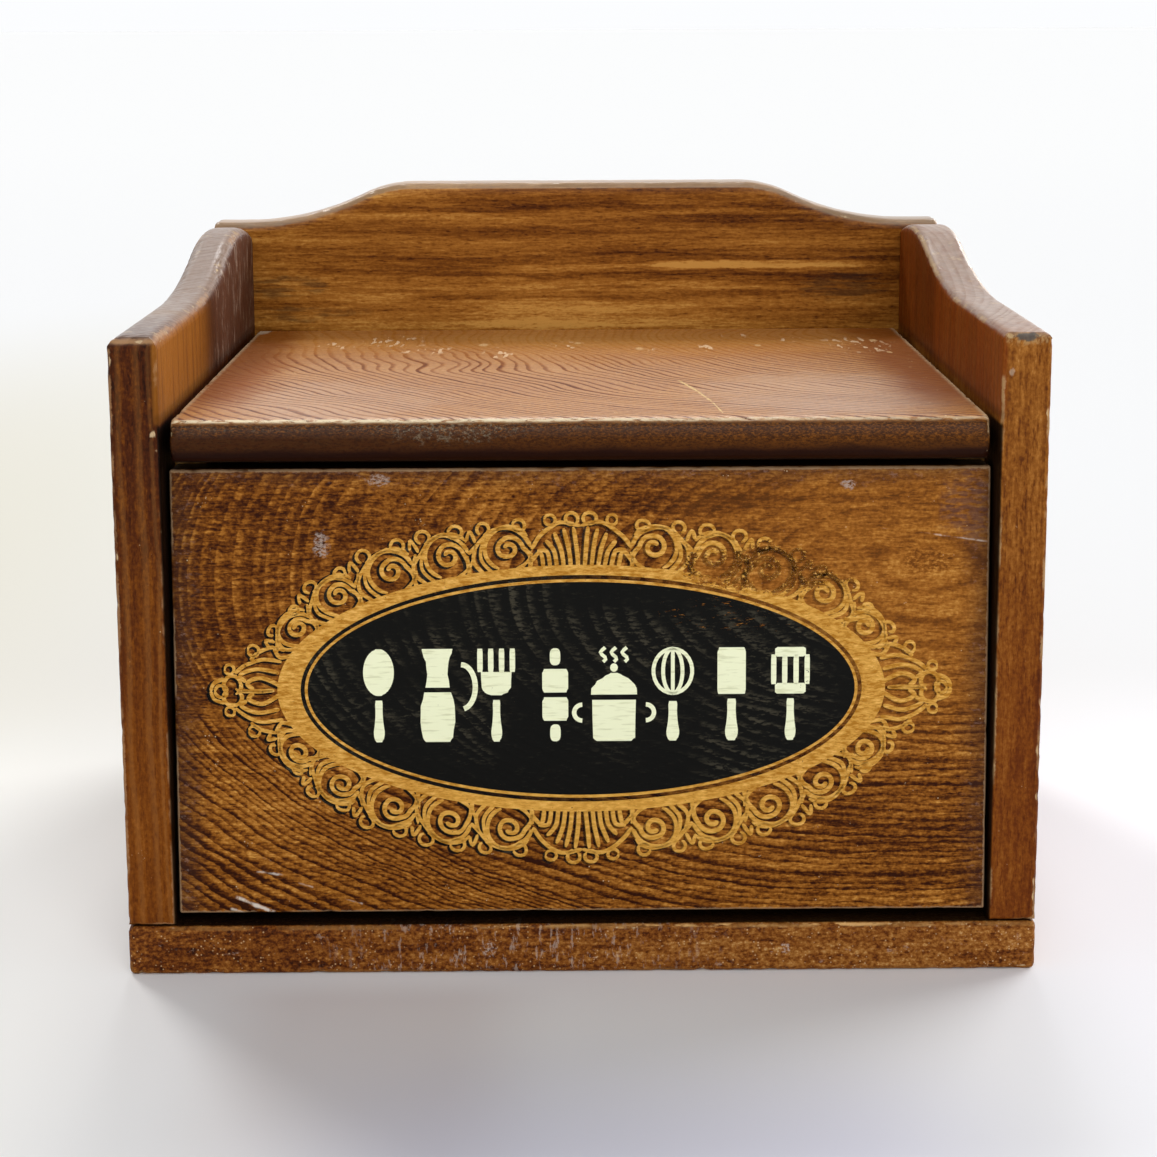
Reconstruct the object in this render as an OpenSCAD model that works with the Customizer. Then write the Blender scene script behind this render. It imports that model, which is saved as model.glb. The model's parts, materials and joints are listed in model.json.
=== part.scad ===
// Recipe card box: a nailed board box with a scrolled gallery top, a lift-up lid and a drop front.
// +Y points to the back, +Z up, and the origin is the bottom centre of the whole box.

/* [Box] */
// Width over the two sides
box_w = 170; // [160:1:200]
// Depth from the front edges of the sides to the outside of the back panel
box_d = 134; // [120:1:160]
// Thickness of each side
side_t = 9; // [8:0.5:12]
// Thickness of the back panel
back_t = 9; // [8:0.5:12]
// Thickness of the base
base_t = 9.4; // [8:0.1:14]
// How far the base stands out in front of the sides
base_proud = 0.8; // [0.2:0.1:3]
// Radius of the sanded edges
edge_r = 1.2; // [0.5:0.1:2]

/* [Drop front] */
// Height of the front board
flap_h = 84; // [78:1:100]
// Thickness of the front board
flap_t = 9; // [8:0.5:12]
// How far its face stands back from the front edges of the sides, at the pivot
flap_set = 0.8; // [0:0.1:3]
// How far it leans back when it is shut, in degrees
flap_lean = 3; // [1:0.5:5]
// Height of its pivot above its bottom edge
flap_pivot_up = 5; // [4:0.5:8]
// Gap under its bottom edge
flap_foot_gap = 1.9; // [1.9:0.1:3]
// Gap between it and each side
flap_side_gap = 0.5; // [0.3:0.1:1.5]
// Gap between it and the lid above
flap_top_gap = 1.5; // [1:0.1:3]

/* [Lid] */
// Thickness of the lid
lid_t = 8.2; // [8:0.2:11]
// How far its front edge stands back from the front edges of the sides
lid_set = 1.2; // [1:0.1:6]
// Gap between it and each side
lid_side_gap = 1.5; // [0.5:0.1:2.5]
// Gap between its round rear edge and the back panel
lid_back_gap = 1.6; // [1:0.1:3]
// Radius of its rounded front edge
lid_nose_r = 3.4; // [2:0.1:3.8]

/* [Gallery] */
// Height of the sides above the shut lid, at the front
side_rise = 15.6; // [8:0.2:20]
// How much higher the sides are at the crest of their scroll
scroll_rise = 9.4; // [5:0.1:14]
// Radius of the hollow of the scroll
hollow_r = 149; // [100:1:180]
// Radius of the crest of the scroll
crest_r = 64; // [50:1:90]
// Distance of the crest from the back panel
crest_back = 16; // [8:1:24]
// Height of the back panel's shoulders above the crests of the sides, below 0 where they are lower
shoulder_rise = 0; // [-1:0.1:4]
// Height of the back panel's crown above its shoulders
crown_rise = 9; // [6:0.1:14]
// Half the length of the level crown
crown_half = 38; // [20:1:42]
// Radius of the round ends of the crown
crown_r = 28; // [14:1:32]
// Radius of the hollows beside the crown
crown_hollow_r = 63; // [30:1:70]

/* [Cleats] */
// Width and depth of the two upright cleats behind the front board
cleat_w = 6; // [5:0.5:9]

/* [Pivot nails] */
// Shank diameter of the four pivot nails
pin_d = 2; // [1.6:0.1:2.6]
// How far a pivot nail reaches into the board that turns on it
pin_reach = 12; // [8:1:20]
// Radial play of a pivot nail in that board
pin_play = 0.06; // [0.02:0.01:0.1]
// Head diameter of the pivot nails
pin_head_d = 4.2; // [3:0.1:5]
// Head thickness of the pivot nails
pin_head_t = 0.8; // [0.6:0.1:1.2]

/* [Joint nails] */
// Shank diameter of the nails in the base and the back
nail_d = 1.8; // [1.4:0.1:2.2]
// Length of the nails in the base and the back
nail_len = 25; // [20:1:30]
// Head diameter of these nails
nail_head_d = 3.6; // [3:0.1:4.4]
// Head thickness of these nails
nail_head_t = 0.7; // [0.5:0.1:1]
// How deep their heads are set below the wood
nail_sink = 0.3; // [0.2:0.1:1]
// Distance of the rearmost base nail under a side from the back panel
base_nail_inset = 14; // [10:1:30]
// How far the highest nail through the back panel is below the crest of a side
back_nail_inset = 14; // [12:1:20]
// How far the lowest nail through the back panel is above the tips of the base nails
nail_apart = 6; // [4:1:10]
// Distance of the base nails under the back panel from the middle
panel_nail_x = 45; // [20:1:55]
// Shank diameter of the brads in the cleats
brad_d = 1.2; // [1:0.1:1.6]
// Length of these brads
brad_len = 11; // [9:0.5:12]
// Head diameter of these brads
brad_head_d = 2.2; // [1.8:0.1:2.8]
// Distance of a brad from the end of its cleat
brad_inset = 14; // [8:1:25]

/* [Hidden] */
$fn = 48;

// Room for a nail's tip at the end of a blind hole that a board turns on
tip_room = 1;
// Length of a nail's point, in shank diameters
point_share = 1.2;
// How far a cut runs past a face, so that it opens cleanly
past = 1;
base_nails_per_side = 3;
back_nails_per_side = 4;
// Straight pieces that an arc is drawn with
crest_steps = 14;
hollow_steps = 12;
crown_steps = 12;
corner_steps = 5;

// Lengthwise places, from the front edges of the sides to the back
front_y = base_proud / 2 - box_d / 2;
rear_y = front_y + box_d;
back_y = rear_y - back_t;
side_d = box_d - back_t;

// Across
half_w = box_w / 2;
inner_half = half_w - side_t;
side_mid = half_w - side_t / 2;
lid_half = inner_half - lid_side_gap;
flap_half = inner_half - flap_side_gap;

// The front board's pivot, and the reach of its top corners above it
flap_y = front_y + flap_set + flap_t / 2;
flap_z = base_t + flap_foot_gap + flap_pivot_up;
flap_above = flap_h - flap_pivot_up;
flap_reach = norm([flap_above, flap_t / 2]);

// The shut lid lies just above the arc of those corners, on the cleats
lid_z = flap_z + flap_reach + flap_top_gap;
lid_top = lid_z + lid_t;
lid_pin_y = back_y - lid_back_gap - lid_t / 2;
lid_pin_z = lid_z + lid_t / 2;

// The cleats' front faces meet the front board's upper back edge as it leans
cleat_y = flap_y + cos(flap_lean) * flap_t / 2 + sin(flap_lean) * flap_above;

// Scroll of the sides: a hollow arc that runs into a round crest
side_low = lid_top + side_rise;
crest_z = side_low + scroll_rise;
scroll_turn = acos(1 - scroll_rise / (hollow_r + crest_r));
crest_y = side_d - crest_back;
hollow_y = crest_y - (hollow_r + crest_r) * sin(scroll_turn);
// Where the crest's arc meets the back panel, in degrees
crest_rear = acos(crest_back / crest_r);

// Crown of the back panel: a round end that runs into a hollow arc on each side
shoulder_z = crest_z + shoulder_rise;
crown_z = shoulder_z + crown_rise;
crown_turn = acos(1 - crown_rise / (crown_r + crown_hollow_r));
crown_foot = crown_half + (crown_r + crown_hollow_r) * sin(crown_turn);

// Rows of nails
base_nail_first = cleat_y + cleat_w;
base_nail_last = back_y - base_nail_inset;
nail_tip_z = nail_sink + nail_len;
back_nail_low = nail_tip_z + nail_apart;
back_nail_high = crest_z - back_nail_inset;

// Equal steps from one end of a row to the other
function row(from, to, count) = [for (i = [0 : count - 1]) from + (to - from) * i / (count - 1)];

// A quarter-round waste piece in the corner of a profile, pointing to +x and +y
module corner_waste(r) {
    difference() {
        square(r + past);
        circle(r);
    }
}

// Rectangle w by h with its four corners rounded
module soft_rectangle(w, h, r) {
    difference() {
        square([w, h]);
        for (x = [0, 1], y = [0, 1])
            translate([x ? w - r : r, y ? h - r : r])
                mirror([1 - x, 0]) mirror([0, 1 - y]) corner_waste(r);
    }
}

// Stands a profile drawn in depth and height upright and extrudes it across the box
module across(half) {
    translate([-half, 0, 0]) rotate([90, 0, 90]) linear_extrude(2 * half) children();
}

// Nail along +Z: the top of its head is at the origin and its point is up
module nail(d, len, head_d, head_t) {
    point = point_share * d;
    cylinder(h = head_t, d = head_d);
    translate([0, 0, head_t]) cylinder(h = len - head_t - point, d = d);
    translate([0, 0, len - point]) cylinder(h = point, d1 = d, d2 = d / 4);
}

// The same nail with the hole that its head was driven down
module nail_cut(d, len, head_d, head_t) {
    nail(d, len, head_d, head_t);
    translate([0, 0, -past]) cylinder(h = past, d = head_d);
}

// Nails up through the base, into the sides and the back panel
module at_base_nails() {
    for (s = [-1, 1], y = row(base_nail_first, base_nail_last, base_nails_per_side))
        translate([s * side_mid, y, nail_sink]) children();
    for (s = [-1, 1])
        translate([s * panel_nail_x, rear_y - back_t / 2, nail_sink]) children();
}

// Nails through the back panel, into the rear ends of the sides
module at_back_nails() {
    for (s = [-1, 1], z = row(back_nail_low, back_nail_high, back_nails_per_side))
        translate([s * side_mid, rear_y - nail_sink, z]) rotate([90, 0, 0]) children();
}

// Brads from inside the box through the cleat on side s, into the side behind it
module at_cleat_brads(s) {
    for (z = row(base_t + brad_inset, lid_z - brad_inset, 2))
        translate([s * (inner_half - cleat_w + nail_sink), cleat_y + cleat_w / 2, z])
            rotate([0, s * 90, 0]) children();
}

// Places for the pivot nails on side s: driven inwards, with the head flush with the side
module at_lid_pin(s) {
    translate([s * half_w, lid_pin_y, lid_pin_z]) rotate([0, -s * 90, 0]) children();
}

module at_front_pin(s) {
    translate([s * half_w, flap_y, flap_z]) rotate([0, -s * 90, 0]) children();
}

module lid_pin() {
    nail(pin_d, side_t + lid_side_gap + pin_reach, pin_head_d, pin_head_t);
}

module front_pin() {
    nail(pin_d, side_t + flap_side_gap + pin_reach, pin_head_d, pin_head_t);
}

module joint_nail() {
    nail(nail_d, nail_len, nail_head_d, nail_head_t);
}

module joint_nail_cut() {
    nail_cut(nail_d, nail_len, nail_head_d, nail_head_t);
}

module brad() {
    nail(brad_d, brad_len, brad_head_d, nail_head_t);
}

module brad_cut() {
    nail_cut(brad_d, brad_len, brad_head_d, nail_head_t);
}

// Hole right through a side for a pivot nail, with a seat for its head
module pin_hole() {
    translate([0, 0, -past]) cylinder(h = pin_head_t + past, d = pin_head_d);
    cylinder(h = side_t + past, d = pin_d);
}

// Blind holes in both ends of a board that turns on two nails
module pivot_holes(half, y, z) {
    for (s = [-1, 1])
        translate([s * (half + past), y, z]) rotate([0, -s * 90, 0])
            cylinder(h = past + pin_reach + tip_room, r = pin_d / 2 + pin_play);
}

// Points of an arc about centre, from one angle to the other, without the first
function arc(centre, r, from, to, steps) = [
    for (i = [1 : steps]) let (a = from + (to - from) * i / steps) centre + r * [cos(a), sin(a)]
];

// Outline of a side in depth and height: up its rear end, over the crest and along the hollow to the front
side_outline = concat(
    [[0, base_t], [side_d, base_t], [side_d, crest_z - crest_r * (1 - sin(crest_rear))]],
    arc([crest_y, crest_z - crest_r], crest_r, crest_rear, 90 + scroll_turn, crest_steps),
    arc([hollow_y, side_low + hollow_r], hollow_r, scroll_turn - 90, -90, hollow_steps),
    [[edge_r, side_low]],
    arc([edge_r, side_low - edge_r], edge_r, 90, 180, corner_steps)
);

// Outline of the right half of the back panel in width and height, from its foot to the crown
back_right_outline = concat(
    [[half_w, base_t], [half_w, shoulder_z - edge_r]],
    arc([half_w - edge_r, shoulder_z - edge_r], edge_r, 0, 90, corner_steps),
    [[crown_foot, shoulder_z]],
    arc([crown_foot, shoulder_z + crown_hollow_r], crown_hollow_r, -90, -90 - crown_turn, crown_steps),
    arc([crown_half, crown_z - crown_r], crown_r, 90 - crown_turn, 90, crown_steps)
);
back_left_outline = [
    for (i = [len(back_right_outline) - 1 : -1 : 0]) [-back_right_outline[i].x, back_right_outline[i].y]
];

// A side with its nail holes; s is -1 on the left and 1 on the right
module side(s) {
    difference() {
        translate([s * side_mid, front_y, 0]) across(side_t / 2) polygon(side_outline);
        at_lid_pin(s) pin_hole();
        at_front_pin(s) pin_hole();
        at_base_nails() joint_nail_cut();
        at_back_nails() joint_nail_cut();
        at_cleat_brads(s) brad_cut();
    }
}

module cleat(s) {
    difference() {
        translate([s * (inner_half - cleat_w / 2) - cleat_w / 2, cleat_y, base_t])
            cube([cleat_w, cleat_w, lid_z - base_t]);
        at_cleat_brads(s) brad_cut();
    }
}

module base_board() {
    color("saddlebrown") difference() {
        translate([0, front_y - base_proud, 0])
            across(half_w) soft_rectangle(box_d + base_proud, base_t, edge_r);
        at_base_nails() joint_nail_cut();
    }
}

module left_side() {
    color("sienna") side(-1);
}

module right_side() {
    color("sienna") side(1);
}

module back_panel() {
    color("peru") difference() {
        translate([0, rear_y, 0]) rotate([90, 0, 0]) linear_extrude(back_t)
            polygon(concat(back_right_outline, back_left_outline));
        at_base_nails() joint_nail_cut();
        at_back_nails() joint_nail_cut();
    }
}

module left_front_cleat() {
    color("burlywood") cleat(-1);
}

module right_front_cleat() {
    color("burlywood") cleat(1);
}

// Lid with a round nose, and a half-round rear edge about its pivot
module lid_board() {
    lid_front = front_y + lid_set;
    color("brown") difference() {
        across(lid_half) {
            translate([lid_front, lid_z]) difference() {
                square([lid_pin_y - lid_front, lid_t]);
                translate([lid_nose_r, lid_t - lid_nose_r]) mirror([1, 0]) corner_waste(lid_nose_r);
                translate([lid_nose_r, lid_nose_r])
                    mirror([1, 0]) mirror([0, 1]) corner_waste(lid_nose_r);
            }
            translate([lid_pin_y, lid_pin_z]) circle(d = lid_t);
        }
        pivot_holes(lid_half, lid_pin_y, lid_pin_z);
    }
}

// Front board, leaning back on the cleats
module drop_front() {
    color("darkgoldenrod") difference() {
        translate([0, flap_y, flap_z]) rotate([-flap_lean, 0, 0])
            translate([0, -flap_t / 2, -flap_pivot_up])
                across(flap_half) soft_rectangle(flap_t, flap_h, edge_r / 2);
        pivot_holes(flap_half, flap_y, flap_z);
    }
}

module left_lid_pin() {
    color("dimgray") at_lid_pin(-1) lid_pin();
}

module right_lid_pin() {
    color("dimgray") at_lid_pin(1) lid_pin();
}

module left_front_pin() {
    color("dimgray") at_front_pin(-1) front_pin();
}

module right_front_pin() {
    color("dimgray") at_front_pin(1) front_pin();
}

module base_nails() {
    color("dimgray") at_base_nails() joint_nail();
}

module back_nails() {
    color("dimgray") at_back_nails() joint_nail();
}

module cleat_brads() {
    color("dimgray") for (s = [-1, 1]) at_cleat_brads(s) brad();
}

base_board();
left_side();
right_side();
back_panel();
left_front_cleat();
right_front_cleat();
lid_board();
drop_front();
left_lid_pin();
right_lid_pin();
left_front_pin();
right_front_pin();
base_nails();
back_nails();
cleat_brads();
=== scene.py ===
"""The looks of a stained wooden recipe card box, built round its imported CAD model."""

import json
import math

import bmesh
import bpy
import numpy as np
from bpy.props import FloatProperty, FloatVectorProperty, PointerProperty
from bpy.types import Operator, Panel, PropertyGroup
from mathutils import Matrix, Vector, noise


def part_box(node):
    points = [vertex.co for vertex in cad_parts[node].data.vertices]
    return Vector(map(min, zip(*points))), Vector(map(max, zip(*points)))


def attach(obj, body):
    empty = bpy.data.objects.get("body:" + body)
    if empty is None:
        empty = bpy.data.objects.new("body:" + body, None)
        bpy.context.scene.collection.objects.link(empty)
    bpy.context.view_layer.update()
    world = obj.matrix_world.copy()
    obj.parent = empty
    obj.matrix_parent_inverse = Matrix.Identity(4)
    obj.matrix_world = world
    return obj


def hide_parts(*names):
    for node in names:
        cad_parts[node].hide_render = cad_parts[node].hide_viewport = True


bl_info = {
    "name": "Recipe Card Box",
    "version": (1, 0, 0),
    "blender": (4, 5, 0),
    "location": "3D View > Sidebar > Card Box",
    "description": "Boards, printed medallion, nails and studio of a scrolled recipe card box",
    "category": "Add Mesh",
}

MM = 0.001
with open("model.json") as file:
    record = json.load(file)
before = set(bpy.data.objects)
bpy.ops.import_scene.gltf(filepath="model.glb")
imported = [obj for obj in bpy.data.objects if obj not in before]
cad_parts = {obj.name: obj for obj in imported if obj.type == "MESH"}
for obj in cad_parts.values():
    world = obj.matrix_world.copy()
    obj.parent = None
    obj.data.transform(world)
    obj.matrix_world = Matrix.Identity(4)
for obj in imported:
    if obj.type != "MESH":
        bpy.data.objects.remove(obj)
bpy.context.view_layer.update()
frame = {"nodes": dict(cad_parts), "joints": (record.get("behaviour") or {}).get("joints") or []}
JOINTS = {joint["name"]: joint for joint in frame["joints"]}


def tint(code):
    """A display colour such as "#c8913a", as the linear numbers that a shader takes."""
    shares = [int(code[i : i + 2], 16) / 255 for i in (1, 3, 5)]
    return tuple(s / 12.92 if s < 0.04045 else ((s + 0.055) / 1.055) ** 2.4 for s in shares)


# Sizes and colours that a user would change


def length(name, description, value, low, high):
    """A size property; value and limits in millimetres."""
    return FloatProperty(
        name=name, description=description, default=value * MM, min=low * MM, max=high * MM, unit="LENGTH"
    )


def colour(name, description, code):
    return FloatVectorProperty(
        name=name, description=description, default=tint(code), size=3, min=0, max=1, subtype="COLOR"
    )


class BoxShape(PropertyGroup):
    """Curves and roundings that the boxes of the CAD nodes don't give."""

    hollow_radius: length("Scroll hollow", "Radius of the hollow in the top of a side", 149, 100, 180)
    crest_radius: length("Scroll crest", "Radius of the crest of a side", 64, 50, 90)
    crest_back: length("Crest to back", "Distance of the crest from the back panel", 16, 8, 24)
    scroll_rise: length("Scroll rise", "How much higher the crest is than the front", 9.4, 5, 14)
    crown_rise: length("Crown rise", "Height of the back's crown above its shoulders", 9, 6, 14)
    crown_half: length("Level crown", "Half the length of the level crown", 38, 20, 42)
    crown_radius: length("Crown ends", "Radius of the round ends of the crown", 28, 14, 32)
    crown_hollow: length("Crown hollows", "Radius of the hollows beside the crown", 63, 30, 70)
    nose_radius: length("Lid nose", "Radius of the lid's rounded front edge", 3.4, 2, 3.8)
    front_thick: length("Front board", "Thickness of the front board", 9, 8, 12)
    front_high: length("Front height", "Height of the front board along its face", 84, 78, 100)
    front_foot: length("Front foot", "Height of the front board's pivot above its bottom edge", 5, 4, 8)
    front_lean: FloatProperty(
        name="Front lean",
        description="How far the shut front board leans back",
        default=math.radians(3),
        min=0,
        max=math.radians(5),
        subtype="ANGLE",
    )


class MedallionShape(PropertyGroup):
    """Sizes of the printed medallion on the front board."""

    up: length("Height", "Height of its middle above the front board's bottom edge", 42.6, 35, 55)
    oval_wide: length("Oval half width", "Half the width of the dark oval", 50.7, 40, 60)
    oval_high: length("Oval half height", "Half the height of the dark oval", 20.15, 15, 26)
    line: length("Line", "Width of a line of the scrollwork", 0.95, 0.5, 1.5)
    ink: length("Ink", "Thickness of the printed ink", 0.05, 0.02, 0.1)


class BoxColours(PropertyGroup):
    """Colours of the stains and inks."""

    stain_dark: colour("Dark stain", "Darkest lines of the grain", "#2e1002")
    stain_deep: colour("Deep stain", "Dark wood beside the lines", "#562b08")
    stain_brown: colour("Brown stain", "Body of the wood", "#804b14")
    stain_gold: colour("Golden stain", "Light wood between the lines", "#a56b28")
    stain_pale: colour("Pale gold", "Lightest streaks", "#c99246")
    bare: colour("Bare wood", "Wood where the finish has worn off", "#d9bd92")
    dust: colour("Dust", "Dust in corners and scuffs", "#b3a79d")
    gold: colour("Gold ink", "Scrollwork", "#cf9a44")
    black: colour("Black ink", "Oval and under-print", "#0f0f0d")
    cream: colour("Cream paint", "Stencilled tools", "#edf0cb")
    steel: colour("Nail steel", "Heads of the nails", "#5b5550")


# Shader maths


class Wire:
    """A number on a socket, which can be added, multiplied and so on."""

    def __init__(self, paint, socket):
        self.paint = paint
        self.socket = socket

    def __add__(self, other):
        return self.paint.maths("ADD", self, other)

    def __sub__(self, other):
        return self.paint.maths("SUBTRACT", self, other)

    def __rsub__(self, other):
        return self.paint.maths("SUBTRACT", other, self)

    def __mul__(self, other):
        return self.paint.maths("MULTIPLY", self, other)

    def __truediv__(self, other):
        return self.paint.maths("DIVIDE", self, other)

    def __abs__(self):
        return self.paint.maths("ABSOLUTE", self)

    __radd__ = __add__
    __rmul__ = __mul__


class Paint:
    """A material and the nodes that it is made of."""

    def __init__(self, name):
        self.material = bpy.data.materials.new(name)
        self.material.use_nodes = True
        self.tree = self.material.node_tree
        self.tree.nodes.clear()

    def node(self, kind, settings=None, out=0, **sockets):
        """Adds a node: its settings first, then values or wires for its sockets, by name or as i0, i1 and so on."""
        made = self.tree.nodes.new("ShaderNode" + kind)
        for key, value in (settings or {}).items():
            if key == "stops":
                self.set_stops(made.color_ramp, value)
            else:
                setattr(made, key, value)
        for key, value in sockets.items():
            by_place = key[0] == "i" and key[1:].isdigit()
            socket = made.inputs[int(key[1:]) if by_place else key]
            if isinstance(value, Wire):
                self.tree.links.new(value.socket, socket)
            else:
                socket.default_value = value
        return Wire(self, made.outputs[out]) if made.outputs else made

    def set_stops(self, ramp, stops):
        while len(ramp.elements) < len(stops):
            ramp.elements.new(1)
        for element, (place, shade) in zip(ramp.elements, stops):
            element.position = place
            element.color = (*shade, 1)

    def maths(self, operation, *values):
        return self.node("Math", {"operation": operation}, **{f"i{i}": v for i, v in enumerate(values)})

    def least(self, a, b):
        return self.maths("MINIMUM", a, b)

    def most(self, a, b):
        return self.maths("MAXIMUM", a, b)

    def ease(self, value, low, high, start=0.0, end=1.0):
        """Runs smoothly from start to end as value goes from low to high."""
        return self.node(
            "MapRange",
            {"interpolation_type": "SMOOTHSTEP"},
            i0=value,
            i1=low,
            i2=high,
            i3=start,
            i4=end,
        )

    def mix(self, share, first, second, blend="MIX"):
        """Mixes two colours; each is a wire or three numbers."""
        first, second = (c if isinstance(c, Wire) else (*c, 1) for c in (first, second))
        return self.node("Mix", {"data_type": "RGBA", "blend_type": blend}, out=2, i0=share, i6=first, i7=second)

    def join(self, x, y, z):
        return self.node("CombineXYZ", i0=x, i1=y, i2=z)

    def stretch(self, place, scales, shift=0.0):
        return self.node(
            "VectorMath", {"operation": "MULTIPLY_ADD"}, i0=place, i1=scales, i2=(shift, shift * 0.7, shift * 1.3)
        )

    def cloud(self, place, scales, shift=0.0, detail=2.0, rough=0.5):
        """Noise from 0 to 1 with the given number of changes per millimetre along each direction."""
        return self.node(
            "TexNoise", Vector=self.stretch(place, scales, shift), Scale=1.0, Detail=detail, Roughness=rough
        )

    def layer(self, name):
        """A number that the mesh holds at each of its corners."""
        return self.node("Attribute", {"attribute_name": name}, out="Fac")

    def place(self):
        """The point on the object, in millimetres."""
        point = self.node("TexCoord", out="Object")
        return self.node("VectorMath", {"operation": "SCALE"}, i0=point, i3=1 / MM)

    def surface(self, colour, roughness, height=None, relief=0.2, metallic=0.0, coat=0.0, alpha=1.0, gloss=0.05):
        """Joins the finish to the surface; height is in millimetres."""
        sockets = {
            "Base Color": colour if isinstance(colour, Wire) else (*colour, 1),
            "Roughness": roughness,
            "Metallic": metallic,
            "Coat Weight": coat,
            "Coat Roughness": 0.28,
            "Alpha": alpha,
            "Specular IOR Level": gloss,
        }
        if height is not None:
            sockets["Normal"] = self.node("Bump", Strength=relief, Distance=MM, Height=height)
        shader = self.node("BsdfPrincipled", **sockets)
        self.node("OutputMaterial", Surface=shader)
        return self.material


class Timber(Paint):
    """Stained softwood, built up in the order of its making: rings, fibres, stain, then wear, with painted light and
    shade laid among the marks.

    axes names the object's directions along the grain, across it and through the board.
    """

    def __init__(self, name, axes, stain, tone=0.45, seed=0.0):
        super().__init__(name)
        self.point = self.place()
        parts = self.node("SeparateXYZ", Vector=self.point)
        xyz = dict(zip("XYZ", (Wire(self, parts.socket.node.outputs[i]) for i in range(3))))
        self.x, self.y, self.z = (xyz[a] for a in "XYZ")
        self.along, self.across, self.through = (xyz[a] for a in axes)
        self.at = self.join(self.along, self.across, self.through)
        self.stain = stain
        self.tone = tone
        self.seed = seed
        self.height = 0.0
        self.rough = 0.44
        self.marks = []

    def grain(self, scales, shift=0.0, detail=2.0, rough=0.5):
        return self.cloud(self.at, scales, self.seed + shift, detail, rough)

    def swing(self, size, *args, **options):
        """Noise about nought that reaches about size each way."""
        return (self.grain(*args, **options) - 0.5) * (2.6 * size)

    def rings(self, pith, spacing, taper=0.5, wander=3.0, ripple=0.6, jag=0.2, drift=1.5, crowd=None):
        """Growth rings as cones about the pith, a point along, across and through the board.

        Leaves late, the share of dark late wood, and ring, the number of each ring. With crowd, a start, an
        end and a number, so many more rings lie between those distances from the pith.
        """
        side = self.across + self.swing(wander, (0.013, 0.03, 0.03), 3.1)
        side = side + self.swing(ripple, (0.06, 0.16, 0.16), 7.7) + self.swing(jag, (0.5, 1.6, 1.6), 12.3)
        run = (self.along - pith[0]) * taper
        rise = side - pith[1]
        depth = self.through - pith[2]
        radius = self.maths("SQRT", run * run + rise * rise + depth * depth)
        count = radius / spacing + self.node("TexNoise", {"noise_dimensions": "1D"}, W=radius * 0.045) * drift
        if crowd:
            count = count + self.ease(radius, crowd[0], crowd[1]) * crowd[2]
        self.phase = self.maths("FRACT", count)
        self.ring = self.maths("FLOOR", count)
        self.luck = self.node("TexWhiteNoise", {"noise_dimensions": "1D"}, W=self.ring + self.seed)
        self.late = self.ease(self.phase, 0.3, 0.8) * self.ease(self.phase, 0.88, 0.98, 1, 0)
        self.late = self.late * (self.luck * 0.6 + 0.4)
        return self

    def draw_rings(self, depth, where=1.0):
        """Darkens the late wood; below nought it is lighter than the rest."""
        self.tone = self.tone - self.late * where * depth
        self.height = self.height + self.late * where * 0.06
        return self

    def fibres(self, coarse=0.3, fine=0.3, streak=0.22, grit=0.12):
        """Streaks, bundles, single fibres and the specks of stain between them."""
        self.tone = self.tone + self.swing(streak, (0.02, 0.5, 0.5), 21, detail=3.0)
        self.tone = self.tone + self.swing(coarse, (0.14, 1.5, 1.5), 31, detail=3.0, rough=0.65)
        hair = self.swing(fine, (0.5, 2.0, 2.0), 41, detail=2.5, rough=0.65)
        self.tone = self.tone + hair + self.swing(grit, (1.3, 1.6, 1.6), 46, detail=2.0, rough=0.6)
        self.height = self.height + hair * 0.1
        return self

    def blotches(self, size, scales, shift=51.0, detail=3.0):
        self.tone = self.tone + self.swing(size, scales, shift, detail=detail, rough=0.6)
        return self

    def pores(self, amount=0.25, shift=61.0, scales=(0.45, 2.6, 2.6)):
        """Short dark dashes along the grain."""
        dash = self.ease(self.grain(scales, shift, detail=1.0), 0.6, 0.7)
        self.tone = self.tone - dash * amount
        self.height = self.height - dash * 0.05
        return self

    def vector(self, operation, *values, out=0, **sockets):
        wired = {f"i{i}": v for i, v in enumerate(values)}
        return self.node("VectorMath", {"operation": operation}, out=out, **wired, **sockets)

    def within(self, value, middle, half, soft):
        """1 where value is within half of the middle, and 0 beyond it."""
        return self.ease(abs(value - middle), half - soft, half + soft, 1, 0)

    def ball(self, middle, reach, ragged=0.35, shift=71.0, pitch=0.12):
        """How far a point is from the middle, as a share of the reach along X, Y and Z, made ragged."""
        off = self.vector("DIVIDE", self.vector("SUBTRACT", self.point, middle), reach)
        far = self.vector("LENGTH", off, out="Value")
        return far + (self.cloud(self.point, (pitch,) * 3, self.seed + shift, 4.0, 0.6) - 0.5) * (2.6 * ragged)

    def spot(self, middle, reach, ragged=0.35, shift=71.0, pitch=0.12):
        """1 near the middle, and 0 outside the reach along X, Y and Z."""
        return self.ease(self.ball(middle, reach, ragged, shift, pitch), 0.6, 1.1, 1, 0)

    def scratch(self, start, end, width, shift=0.0, broken=0.45):
        """A thin broken mark between two points, seen through the whole thickness of the board."""
        run = Vector(end) - Vector(start)
        off = self.vector("SUBTRACT", self.point, start)
        share = self.vector("DOT_PRODUCT", off, tuple(run / run.length_squared), out="Value")
        foot = self.vector("SCALE", tuple(run), i3=share)
        away = self.vector("LENGTH", self.vector("SUBTRACT", off, foot), out="Value")
        away = away + self.swing(width * 0.6, (0.5, 0.5, 0.5), 81 + shift)
        body = self.ease(away, width * 0.3, width, 1, 0)
        ends = self.ease(share, 0.0, 0.1) * self.ease(share, 0.9, 1.0, 1, 0)
        gaps = self.ease(self.grain((1.1, 1.1, 1.1), 91 + shift), broken - 0.1, broken + 0.05)
        return body * ends * gaps

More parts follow.
